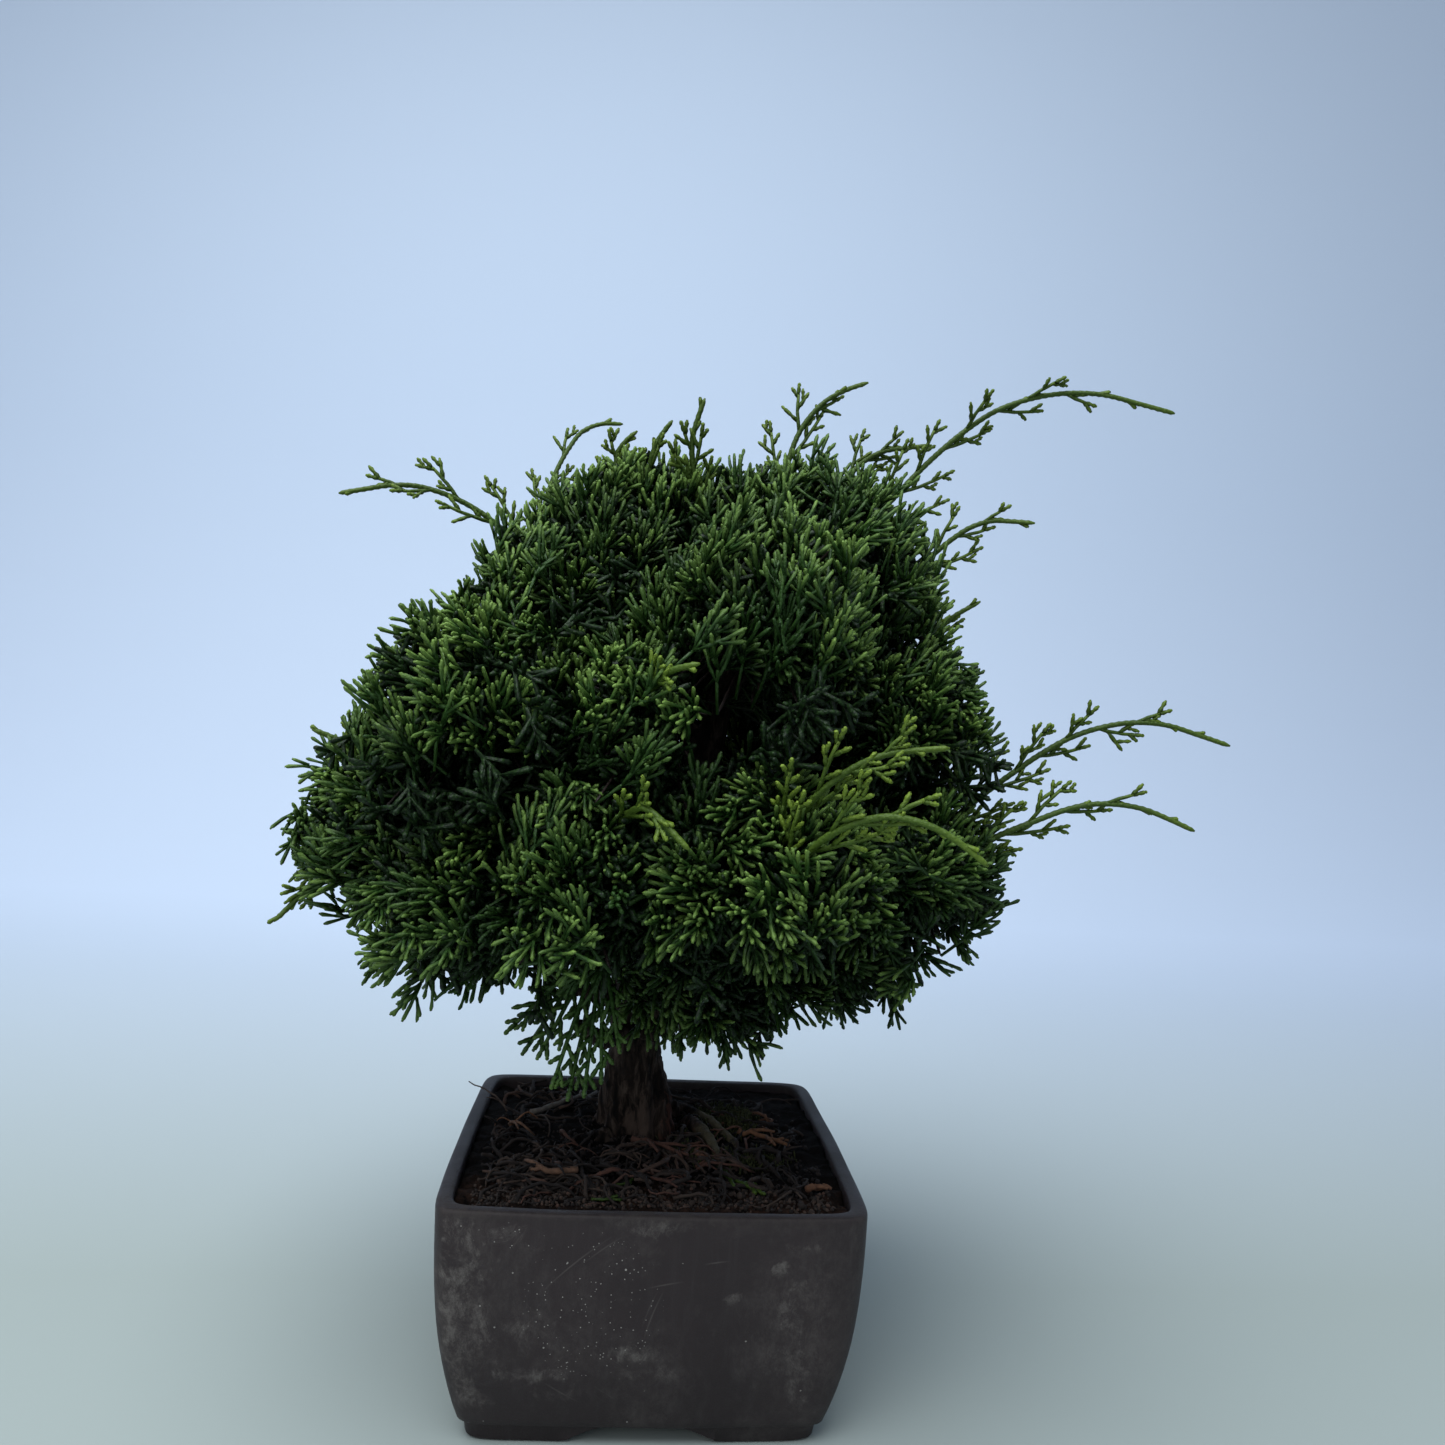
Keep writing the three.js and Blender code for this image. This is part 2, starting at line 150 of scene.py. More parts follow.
def object_place(tree, scale=(1, 1, 1), turn=(0, 0, 0)):
    """Object coordinates, stretched and turned for a pattern."""
    place = put(tree, "TexCoord").outputs["Object"]
    turned = put(tree, "Mapping", {"Vector": place, "Scale": scale, "Rotation": turn})
    return turned.outputs["Vector"]


def noise_pattern(tree, place, scale, detail, roughness=0.6, distortion=0.0):
    inputs = {"Vector": place, "Scale": scale, "Detail": detail, "Roughness": roughness}
    return put(tree, "TexNoise", {**inputs, "Distortion": distortion}).outputs["Fac"]


def speck_group():
    """Small scattered dots: a mask from one cell pattern, thinned out by a second one."""
    inputs = {"Place": "Vector", "Scale": "Float", "Size": "Float", "Share": "Float"}
    tree, given, results = new_group("specks", inputs, {"Mask": "Float"})
    cells = put(tree, "TexVoronoi", {"Vector": given["Place"], "Scale": given["Scale"]})
    near = math_node(tree, "LESS_THAN", cells.outputs["Distance"], given["Size"])
    pick = put(tree, "SeparateColor", {"Color": cells.outputs["Color"]}).outputs[0]
    kept = math_node(tree, "LESS_THAN", pick, given["Share"])
    tree.links.new(times(tree, near, kept), results["Mask"])
    return tree


SPECKS = speck_group()


def specks(tree, place, scale, size, share):
    inputs = {"Place": place, "Scale": scale, "Size": size, "Share": share}
    return put(tree, "Group", inputs, node_tree=SPECKS).outputs["Mask"]


BARE_WOOD = (0.016, 0.010, 0.008)
LEAF_SCALES = 1000.0  # per metre


def scale_leaf_group():
    """Leaf colour from the growth attribute: dark at the base, pale at fresh tips, brown on bare wood, and
    darker in the grooves between the scales as painted shade.
    """
    inputs = {"Deep": "Color", "Middle": "Color", "Tip": "Color"}
    tree, given, results = new_group("scale_leaf", inputs, {"Color": "Color", "Height": "Float"})
    growth = put(tree, "Attribute", attribute_name="growth")
    along, tint, fresh = put(tree, "SeparateColor", {"Color": growth.outputs["Color"]}).outputs
    scales = put(tree, "TexVoronoi", {"Vector": object_place(tree), "Scale": LEAF_SCALES})
    height = ramp(tree, scales.outputs["Distance"], [(0.1, 1.0), (0.7, 0.0)])
    body = mix(tree, tint, given["Deep"], given["Middle"])
    # Painted shade: lighter on the raised scales, darker in the grooves between them.
    body = mix(tree, times(tree, height, 0.45), body, given["Middle"])
    grown = ramp(tree, along, [(0.55, 0.0), (0.98, 1.0)])
    colour = mix(tree, times(tree, grown, fresh), body, given["Tip"])
    colour = mix(tree, growth.outputs["Alpha"], BARE_WOOD, colour)
    tree.links.new(colour, results["Color"])
    tree.links.new(height, results["Height"])
    return tree


SCALE_LEAF = scale_leaf_group()


def foliage_material(name, deep, middle, tip):
    material, tree, shader = new_material(name, 0.5, 0.24)
    inputs = {"Deep": (*deep, 1), "Middle": (*middle, 1), "Tip": (*tip, 1)}
    leaf = put(tree, "Group", inputs, node_tree=SCALE_LEAF).outputs
    dress(tree, shader, leaf["Color"], leaf["Height"], 0.15 * MM)
    return material


def smudge_group():
    """A soft blob: 1 at its centre, 0 past its size, with an edge torn by what is added to the reach."""
    inputs = {"Centre": "Vector", "Size": "Vector", "Torn": "Float"}
    tree, given, results = new_group("smudge", inputs, {"Mask": "Float"})
    place = object_place(tree)
    away = put(tree, "VectorMath", {0: place, 1: given["Centre"]}, operation="SUBTRACT").outputs[0]
    local = put(tree, "VectorMath", {0: away, 1: given["Size"]}, operation="DIVIDE").outputs[0]
    reach = put(tree, "VectorMath", {0: local}, operation="LENGTH").outputs["Value"]
    reach = math_node(tree, "ADD", reach, given["Torn"])
    tree.links.new(math_node(tree, "SUBTRACT", 1.0, reach, clamp=True), results["Mask"])
    return tree


SMUDGE = smudge_group()


def smudge(tree, centre, size, torn=0.0):
    """A soft blob; its centre and size are in millimetres, from the pot's middle on the ground."""
    inputs = {"Centre": Vector(centre) * MM + POT_MIDDLE, "Size": Vector(size) * MM, "Torn": torn}
    return put(tree, "Group", inputs, node_tree=SMUDGE).outputs["Mask"]


CLAY_DARK, CLAY_PALE = (0.0185, 0.0122, 0.0136), (0.0290, 0.0202, 0.0216)
CLAY_DUST, CLAY_STREAK, CLAY_LINE = (0.112, 0.101, 0.094), (0.075, 0.071, 0.070), (0.10, 0.095, 0.09)
CLAY_DOT, CLAY_CHIP = (0.38, 0.36, 0.33), (0.12, 0.11, 0.10)
# The first colour on the next line darkens the top of the rim: painted shade.
CLAY_LIP_SHADE, CLAY_WORN = (0.0125, 0.0085, 0.0088), (0.046, 0.038, 0.034)
LIP_DEPTH, CHIP_HEIGHT = 3.0 * MM, 1.2 * MM
DUST_STRENGTH, SCRATCH_STRENGTH = 1.1, 0.5
FRONT_Y, FRONT_DEPTH = -60, 30  # of what is on the front of the pot, in millimetres

# Where the white dots crowd: centre and size.
DOT_SMUDGES = (((-16, -60, 42), (26, 30, 30)), ((-38, -62, 62), (16, 30, 5)))

# Fine parallel lines: their slant, and how closely the patches that show them lie.
SLANTED_LINES = (((0.1, 0.72, 0.0), 40.0), ((-0.1, -0.6, 0.1), 36.0))

# Dust on the front of the pot: centre, size and strength.
DUST = (
    ((-54, -60, 32), (12, 30, 38), 0.95),
    ((-52, -60, 57), (6, 30, 14), 0.80),
    ((-36, -60, 35.5), (9, 30, 7), 0.95),
    ((-41, -62, 62.5), (13, 30, 3.5), 0.95),
    ((2, -61, 66), (15, 14, 4), 1.00),
    ((34.3, -61, 54.4), (3.6, 30, 2.8), 1.60),
    ((40, -60, 41.5), (5.5, 30, 8), 0.95),
    ((22.4, -60, 45.7), (3.2, 30, 2.4), 1.00),
    ((-4, -58, 29.5), (9, 30, 3.4), 1.10),
    ((-31, -57, 22.4), (11, 30, 3.0), 1.00),
    ((-23, -56, 17), (9, 30, 3.0), 0.70),
    ((0, -57, 24), (12, 30, 2.4), 0.55),
    ((42, -61, 60), (7, 30, 1.8), 0.70),
    ((42, -56, 23), (6, 30, 14), 0.65),
)

# Long curved scratches on the front, in millimetres across and up: the middle of the curve and its radius,
# then the middle and the size of the part that shows.
SCRATCHES = (
    ((43, -19), 98.0, (-21, 54), (16, 13)),
    ((43, -19), 96.5, (-14, 60), (8, 6)),
    ((57.5, 22), 60.0, (1, 40), (6, 9)),
    ((57.5, 22), 61.5, (2, 41), (5, 7)),
    ((57.5, 22), 63.5, (0, 37), (4, 7)),
    ((34.6, -62.9), 120.0, (17.3, 55.9), (4, 2)),
    ((25.6, -58.2), 110.0, (3.6, 49.6), (6, 2.5)),
    ((40.6, 119), 120.0, (-23, 17.2), (7, 5)),
)


def scratch(tree, middle, radius, centre, size):
    """A thin arc on the front of the pot that fades towards its ends."""
    flat = object_place(tree, (1 / MM, 0, 1 / MM))
    pivot = (middle[0] + POT_MIDDLE.x / MM, 0, middle[1])
    reach = put(tree, "VectorMath", {0: flat, 1: pivot}, operation="DISTANCE").outputs["Value"]
    away = math_node(tree, "ABSOLUTE", math_node(tree, "SUBTRACT", reach, radius))
    line = ramp(tree, away, [(0.08, 1.0), (0.30, 0.0)])
    shown = smudge(tree, (centre[0], FRONT_Y, centre[1]), (size[0], FRONT_DEPTH, size[1]))
    return times(tree, line, shown)


def clay_dust(tree, place, ragged):
    """How dusty the clay is: thin clouds all over, blobs and scratches on the front."""
    dust = ramp(tree, noise_pattern(tree, place, 21.0, 7.0, 0.75, 0.6), [(0.47, 0.0), (0.72, 0.6)])
    cloudy = noise_pattern(tree, object_place(tree, (1.0, 1.0, 0.8), (0, 0.5, 0)), 110.0, 7.0, 0.72, 0.8)
    torn = times(tree, math_node(tree, "SUBTRACT", 0.53, cloudy), 5.5)
    for centre, size, strength in DUST:
        blob = times(tree, smudge(tree, centre, size, torn), DUST_STRENGTH * strength)
        dust = math_node(tree, "ADD", dust, blob, clamp=True)
    patchy = ramp(tree, ragged, [(0.43, 0.06), (0.60, 1.0)])
    dust = times(tree, dust, patchy)
    for arc in SCRATCHES:
        drawn = times(tree, scratch(tree, *arc), SCRATCH_STRENGTH)
        dust = math_node(tree, "MAXIMUM", dust, drawn)
    return dust


def clay_dots(tree, place):
    """White dots, crowded on the left of the front."""
    where = math_node(tree, "MAXIMUM", *(smudge(tree, *blob) for blob in DOT_SMUDGES))
    small = specks(tree, place, 900.0, 0.15, 0.50)
    large = specks(tree, place, 330.0, 0.10, 0.16)
    crowded = times(tree, where, math_node(tree, "MAXIMUM", small, large))
    crowded = ramp(tree, crowded, [(0.22, 0.0), (0.45, 0.85)])
    lone = times(tree, specks(tree, place, 480.0, 0.12, 0.04), 0.6)
    return math_node(tree, "MAXIMUM", crowded, lone)


def clay_lines(tree, place, colour):
    """The colour with faint upright streaks and patches of fine slanted lines."""
    streaks = noise_pattern(tree, object_place(tree, (420, 420, 26)), 1.0, 3.0)
    colour = mix(tree, ramp(tree, streaks, [(0.52, 0.0), (0.74, 0.10)]), colour, CLAY_STREAK)
    for turn, spread in SLANTED_LINES:
        slanted = put(tree, "Mapping", {"Vector": place, "Rotation": turn}).outputs["Vector"]
        drawn = put(tree, "Mapping", {"Vector": slanted, "Scale": (60, 60, 1500)}).outputs["Vector"]
        lines = ramp(tree, noise_pattern(tree, drawn, 1.0, 3.0, 0.6, 0.9), [(0.66, 0.0), (0.74, 0.3)])
        where = ramp(tree, noise_pattern(tree, place, spread, 3.0), [(0.56, 0.0), (0.68, 1.0)])
        colour = mix(tree, times(tree, lines, where), colour, CLAY_LINE)
    return colour


def clay_edges(tree, place, ragged, colour):
    """The colour with the lip darkened as painted shade, worn paler in places, and chips along the feet.
    """
    height = axis_of(tree, place, "Z")
    lip = fade(tree, height, RIM_HEIGHT - LIP_DEPTH, RIM_HEIGHT)
    # Painted shade: the top of the rim is darkened.
    colour = mix(tree, times(tree, lip, 0.6), colour, CLAY_LIP_SHADE)
    worn = times(tree, lip, ramp(tree, ragged, [(0.40, 0.0), (0.62, 0.55)]))
    colour = mix(tree, worn, colour, CLAY_WORN)
    low = fade(tree, height, CHIP_HEIGHT, 0.0)
    chipped = times(tree, low, ramp(tree, ragged, [(0.55, 0.0), (0.62, 0.8)]))
    return mix(tree, chipped, colour, CLAY_CHIP)


def clay_material():
    """Unglazed dark clay: mottled, dusty in patches, scratched and specked, with a worn lip darkened on
    top as painted shade.
    """
    material, tree, shader = new_material("unglazed_clay", 0.7, 0.35)
    place = object_place(tree)
    cloud = noise_pattern(tree, place, 28.0, 5.0, 0.62)
    colour = ramp(tree, cloud, [(0.3, CLAY_DARK), (0.7, CLAY_PALE)])
    ragged = noise_pattern(tree, object_place(tree, (1, 1, 0.7)), 230.0, 9.0, 0.86, 0.25)
    dust = clay_dust(tree, place, ragged)
    colour = clay_lines(tree, place, mix(tree, dust, colour, CLAY_DUST))
    colour = mix(tree, clay_dots(tree, place), colour, CLAY_DOT)
    colour = clay_edges(tree, place, ragged, colour)
    matt = math_node(tree, "ADD", dust, times(tree, cloud, 0.5))
    tree.links.new(ramp(tree, matt, [(0.2, 0.55), (0.7, 0.85)]), shader.inputs["Roughness"])
    grain = times(tree, noise_pattern(tree, place, 1500.0, 4.0), 0.5)
    relief = math_node(tree, "ADD", grain, times(tree, ragged, 0.8))
    dress(tree, shader, colour, relief, 0.25 * MM, 0.8)
    return material


BARK_CRACK, BARK_MIDDLE = (0.002, 0.0015, 0.0012), (0.018, 0.012, 0.0095)
BARK_STRIP = (0.078, 0.058, 0.046)
BARK_ROOT = (0.105, 0.092, 0.058)
ROOT_SMUDGES = (((20, -4, 66), (9, 26, 8)), ((22, 12, 66), (11, 24, 8)))

# Patches of the trunk: centre, size, the strips from which they show, and colour.
BARK_PATCHES = (
    ((-3, -3, 72), (8, 14, 14), 0.10, (0.066, 0.046, 0.036)),
    ((8, 0, 72), (7, 14, 18), 0.12, (0.075, 0.032, 0.022)),
)


def bark_material():
    """Bark in long strips between black cracks, with a pale and a red patch and paler roots."""
    material, tree, shader = new_material("flaky_bark", 0.95, 0.2)
    strips = noise_pattern(tree, object_place(tree, (1, 1, 0.22)), 330.0, 6.0, 0.65, 0.6)
    colour = ramp(tree, strips, [(0.38, BARK_CRACK), (0.5, BARK_MIDDLE), (0.66, BARK_STRIP)])
    plates = noise_pattern(tree, object_place(tree, (1, 1, 0.5)), 150.0, 5.0, 0.7, 1.2)
    torn = times(tree, math_node(tree, "SUBTRACT", 0.5, plates), 5.0)
    for centre, size, least, shade in BARK_PATCHES:
        patch = times(tree, smudge(tree, centre, size, torn), strips)
        colour = mix(tree, ramp(tree, patch, [(least, 0.0), (0.34, 0.8)]), colour, shade)
    near = math_node(tree, "MAXIMUM", *(smudge(tree, *blob) for blob in ROOT_SMUDGES))
    root = ramp(tree, times(tree, near, strips), [(0.05, 0.0), (0.20, 0.9)])
    dress(tree, shader, mix(tree, root, colour, BARK_ROOT), strips, 1.2 * MM)
    return material


# The strip of bare earth along the front, from where it begins to where it is full.
EARTH_START, EARTH_FULL = POT_MIDDLE.y - 28 * MM, POT_MIDDLE.y - 40 * MM


def soil_material():
    """Black, lumpy mix, with bare brown earth along the front."""
    material, tree, shader = new_material("potting_soil", 1.0, 0.1)
    place = object_place(tree)
    lumps = noise_pattern(tree, place, 380.0, 7.0, 0.75)
    dark = ramp(tree, lumps, [(0.38, (0.0012, 0.0010, 0.0009)), (0.72, (0.009, 0.0062, 0.0050))])
    earth = ramp(tree, lumps, [(0.40, (0.0035, 0.0020, 0.0015)), (0.66, (0.046, 0.0245, 0.0170))])
    front = fade(tree, axis_of(tree, place, "Y"), EARTH_START, EARTH_FULL)
    patch = ramp(tree, noise_pattern(tree, place, 60.0, 3.0), [(0.35, 0.2), (0.55, 1.0)])
    colour = mix(tree, times(tree, front, patch), dark, earth)
    dress(tree, shader, colour, lumps, 1.0 * MM)
    return material


# Dead wood by its tint: black-brown, brown, red-brown, orange and grey.
DEAD_STOPS = (
    (0.0, (0.004, 0.0028, 0.0024)),
    (0.2, (0.014, 0.0095, 0.0075)),
    (0.4, (0.060, 0.040, 0.029)),
    (0.6, (0.092, 0.038, 0.026)),
    (0.8, (0.190, 0.088, 0.042)),
    (1.0, (0.160, 0.145, 0.125)),
)
DEAD_SHADE = (0.02, 0.012, 0.010)


def dead_material():
    """Shed twigs, crumbs and bark, coloured by the green of the growth attribute."""
    material, tree, shader = new_material("dead_twigs", 0.9)
    growth = put(tree, "Attribute", attribute_name="growth").outputs["Color"]
    tint = put(tree, "SeparateColor", {"Color": growth}).outputs[1]
    fine = noise_pattern(tree, object_place(tree), 700.0, 3.0)
    shaded = ramp(tree, fine, [(0.35, 0.0), (0.65, 0.5)])
    colour = mix(tree, shaded, ramp(tree, tint, DEAD_STOPS), DEAD_SHADE)
    dress(tree, shader, colour, fine, 0.3 * MM)
    return material


def moss_material():
    material, tree, shader = new_material("moss", 0.95)
    fine = noise_pattern(tree, object_place(tree), 1100.0, 4.0)
    colour = ramp(tree, fine, [(0.3, (0.008, 0.012, 0.004)), (0.7, (0.070, 0.082, 0.020))])
    dress(tree, shader, colour, fine, 0.6 * MM)
    return material


def net_material():
    material, tree, shader = new_material("net_plastic", 0.5)
    fine = noise_pattern(tree, object_place(tree), 500.0, 3.0)
    colour = ramp(tree, fine, [(0.3, (0.008, 0.009, 0.009)), (0.7, (0.022, 0.023, 0.024))])
    tree.links.new(colour, shader.inputs["Base Color"])
    return material


# ---- Mesh helpers ----

CURVE_STEPS = 8  # between two given points of a smooth line


def jitter(rng, spread):
    """A random step, spread alike on all three axes."""
    return Vector([rng.gauss(0, spread) for _ in range(3)])


def held(value):
    return min(1.0, max(0.0, value))


def smooth_line(points, count):
    """Places evenly along a smooth curve through the points."""
    points = [Vector(p) for p in points]
    ends = [2 * points[0] - points[1]] + points + [2 * points[-1] - points[-2]]
    fine = []
    for i in range(1, len(ends) - 2):
        a, b, c, d = ends[i - 1 : i + 3]
        for step in range(CURVE_STEPS):
            t = step / CURVE_STEPS
            bend = 2 * b + (c - a) * t + (2 * a - 5 * b + 4 * c - d) * t**2
            fine.append((bend + (3 * b - a - 3 * c + d) * t**3) / 2)
    fine.append(points[-1])
    lengths = [0.0]
    for before, after in zip(fine, fine[1:]):
        lengths.append(lengths[-1] + (after - before).length)
    even = []
    for i in range(count):
        goal = lengths[-1] * i / (count - 1)
        above = next((k for k, length in enumerate(lengths) if length >= goal), len(fine) - 1)
        above = max(above, 1)
        gap = lengths[above] - lengths[above - 1]
        share = (goal - lengths[above - 1]) / gap if gap else 0
        even.append(fine[above - 1].lerp(fine[above], share))
    return even


def extruded(bm, edges):
    """The new corners and the far edges of a ring of edges, extruded."""
    made = bmesh.ops.extrude_edge_only(bm, edges=edges)["geom"]
    corners = [item for item in made if isinstance(item, bmesh.types.BMVert)]
    fresh = set(corners)
    return corners, [e for e in made if isinstance(e, bmesh.types.BMEdge) and fresh.issuperset(e.verts)]


def sweep(bm, points, radii, segments, twist):
    """A closed rod of rings through the points, alone in bm, each ring turned on by the twist."""
    sides = [(b - a).normalized() for a, b in zip(points, points[1:])]
    bends = [(a + b).normalized() for a, b in zip(sides, sides[1:])]
    headings = [sides[0], *bends, sides[-1]]
    turn = UP.rotation_difference(headings[0]).to_matrix().to_4x4()
    at = Matrix.Translation(points[0]) @ turn @ Matrix.Scale(radii[0], 4)
    bmesh.ops.create_circle(bm, segments=segments, radius=1, matrix=at)
    edges = list(bm.edges)
    first = edges
    for i in range(1, len(points)):
        ring, edges = extruded(bm, edges)
        turn = headings[i - 1].rotation_difference(headings[i]).to_matrix().to_4x4() @ turn
        turn = turn @ Matrix.Rotation(twist, 4, "Z")
        following = Matrix.Translation(points[i]) @ turn @ Matrix.Scale(radii[i], 4)
        bmesh.ops.transform(bm, matrix=following @ at.inverted(), verts=ring)
        at = following
    bmesh.ops.contextual_create(bm, geom=first)
    bmesh.ops.contextual_create(bm, geom=edges)


def branchlet_unit(name, levels, bend=0.0):
    """A scale-leaf branchlet, 1 long on +Z and about 1 thick, each ring turned half a side to braid it."""
    bm = bmesh.new()
    points = [Vector((0, 0, along)) for along, _ in levels]
    sweep(bm, points, [radius for _, radius in levels], segments=4, twist=math.pi / 4)
    for vert in bm.verts:
        vert.co.x += bend * vert.co.z**2
    return to_mesh(bm, name)


def crumb_unit(name):
    """A lumpy crumb about 1 across."""
    bm = bmesh.new()
    bmesh.ops.create_icosphere(bm, subdivisions=1, radius=0.5)
    for vert in bm.verts:
        vert.co *= 1 + 0.5 * noise.noise(vert.co * 2 + Vector((3, 0, 0)))
    return to_mesh(bm, name)


# The rings of a branchlet from its foot to its tip: how far along, and radius.
LONG_LEVELS = ((0, 0.44), (0.32, 0.54), (0.62, 0.50), (0.93, 0.57), (1, 0.30))
SHORT_LEVELS = ((0, 0.46), (0.87, 0.57), (1, 0.30))
BLUNT_LEVELS = ((0, 0.44), (0.28, 0.56), (0.52, 0.50), (0.76, 0.54), (0.92, 0.42), (1, 0.20))


class Greenery:
    """Many copies of small unit meshes, gathered into one mesh with a growth attribute.

    Its red is how far along a branchlet a point is, its green the tint of the spray,
    its blue how fresh the tips are, and its alpha 1 on leaves and 0 on bare wood.
    On the crown's sprays the green and the blue also carry painted light and shade.
    """

    def __init__(self):
        self.bm = bmesh.new()
        self.growth = []

    def take(self, mesh, heights, along=(0.0, 1.0), tint=0.5, fresh=0.5, leaf=1.0):
        self.bm.from_mesh(mesh)
        colours = np.empty((len(heights), 4), np.float32)
        colours[:, 0] = along[0] + (along[1] - along[0]) * heights
        colours[:, 1:] = tint, fresh, leaf
        self.growth.append(colours)

    def twig(self, unit, start, end, thickness, rng, bend_to=None, **growth):
        """A unit laid from start to end; a curved one bends towards bend_to."""
        z = (end - start).normalized()
        x = bend_to if bend_to is not None else Vector([rng.uniform(-1, 1) for _ in range(3)])
        x = (x - z * x.dot(z)).normalized()
        turn = Matrix((x, z.cross(x), z)).transposed().to_4x4()
        size = Matrix.Diagonal((thickness, thickness, (end - start).length, 1))
        rest = REST[unit.name]
        unit.vertices.foreach_set("co", rest)
        unit.transform(Matrix.Translation(start) @ turn @ size)
        self.take(unit, rest.reshape(-1, 3)[:, 2], **growth)

    def rod(self, points, radii, segments, **growth):
        """A stem swept through the points."""
        bm = bmesh.new()
        sweep(bm, points, radii, segments, twist=math.pi / segments)
        mesh = to_mesh(bm, "rod")
        self.take(mesh, np.repeat(np.linspace(0, 1, len(points)), segments), **growth)
        bpy.data.meshes.remove(mesh)

    def add_to_scene(self, name, material, slot, *stands_for):
        """The gathered copies as one finished piece."""
        mesh = bpy.data.meshes.new(name)
        self.bm.to_mesh(mesh)
        self.bm.free()
        attribute = mesh.attributes.new("growth", "FLOAT_COLOR", "POINT")
        attribute.data.foreach_set("color", np.concatenate(self.growth).ravel())
        add_piece(name, mesh, material, slot, *stands_for)


def resting(unit):
    """A unit mesh's own corners, which every copy starts from."""
    rest = np.empty(len(unit.vertices) * 3, np.float32)
    unit.vertices.foreach_get("co", rest)
    return rest


def in_scene(name, data):
    """A new object in the scene."""
    thing = bpy.data.objects.new(name, data)
    bpy.context.scene.collection.objects.link(thing)
    return thing


def evaluated_mesh(thing):
    """An object's mesh with its modifiers applied."""
    bpy.context.view_layer.update()
    return bpy.data.meshes.new_from_object(thing.evaluated_get(bpy.context.evaluated_depsgraph_get()))


def add_piece(name, mesh, material, slot, *stands_for):
    """A finished piece of the object, which rides on the root and hides the CAD nodes it stands for."""
    mesh.shade_smooth()
    mesh.materials.clear()
    mesh.materials.append(material)
    piece = in_scene(name, mesh)
    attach(piece, "root")
    if stands_for:
        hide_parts(*stands_for)


def merged_copy(node):
    """A CAD node's mesh with its corners joined."""
    bm = bmesh.new()
    bm.from_mesh(NODES[node].data)
    bmesh.ops.remove_doubles(bm, verts=bm.verts, dist=0.001 * MM)
    return bm


def remeshed(bm, voxel):
    """The shape as an even, fine mesh."""
    helper = in_scene("helper", to_mesh(bm, "coarse"))
    remesh = helper.modifiers.new("remesh", "REMESH")
    remesh.mode = "VOXEL"
    remesh.voxel_size = voxel
    fine = evaluated_mesh(helper)
    bpy.data.objects.remove(helper)
    bm = bmesh.new()
    bm.from_mesh(fine)
    bpy.data.meshes.remove(fine)
    return bm


def to_mesh(bm, name):
    """The shape as a mesh with its faces turned out; the working copy is freed."""
    bmesh.ops.recalc_face_normals(bm, faces=bm.faces)
    mesh = bpy.data.meshes.new(name)
    bm.to_mesh(mesh)
    bm.free()
    return mesh


# ---- Pot ----

POT_SEGMENTS = 160
POT_SQUARENESS = 20  # the power of the outline's superellipse
POT_BOW = 0.02  # how far the corners draw in
CORNER_CROWDING = 0.19  # how far the points move towards the corners
FOOT_HEIGHT = 5.5 * MM
LEDGE_HALF = 53.2 * MM
FLARE = 2.6
WALL = 4.4 * MM
LIP_HEIGHT = 1.8 * MM
SIDE_STEPS, LIP_STEPS = 14, 10
ARCH_HEIGHT, ARCH_FOOT, ARCH_TOP = 4.7 * MM, 23.5 * MM, 11.5 * MM
ARCH_STEPS = 6
CLAY_WOBBLE, WOBBLE_SCALE = 0.35 * MM, 35
CLAY_EDGE_ANGLE = math.radians(50)

# The pot's section as (half-width, height, squareness) in millimetres: from the drain hole over the
# recess and a foot to the ledge, and from the foot of the wall over the floor back to the drain hole.
UNDERSIDE = (
    (7, 5, 0),
    (20, 5, 0.6),
    (38.3, 5, 1),
    (39.2, 4.4, 1),
    (39.6, 0.6, 1),
    (40.2, 0, 1),
    (50.1, 0, 1),
    (50.9, 0.7, 1),
    (51.6, 4.9, 1),
    (52.0, 5.4, 1),
    (52.8, 5.55, 1),
)
INSIDE_HEIGHTS = (66, 62, 50, 36, 22)
FLOOR = ((44, 11.3, 1), (40, 11, 1), (20, 11, 0.6), (7, 11, 0))


def pot_outline(turn, squareness):
    """A point of the pot's outline at a half-width of 1, from a circle (0) to the bowed square (1)."""
    turn += CORNER_CROWDING * squareness * math.sin(4 * turn)
    c, s = math.cos(turn), math.sin(turn)
    reach = (abs(c) ** POT_SQUARENESS + abs(s) ** POT_SQUARENESS) ** (-1 / POT_SQUARENESS)
    x, y = c * reach, s * reach
    x, y = x * (1 - POT_BOW * y * y), y * (1 - POT_BOW * x * x)
    return Vector((c, s, 0)).lerp(Vector((x, y, 0)), squareness)


def pot_side(height):
    """The pot's outer half-width at a height."""
    up = (height - FOOT_HEIGHT) / (RIM_HEIGHT - FOOT_HEIGHT)
    return POT_HALF - (POT_HALF - LEDGE_HALF) * (1 - up) ** FLARE


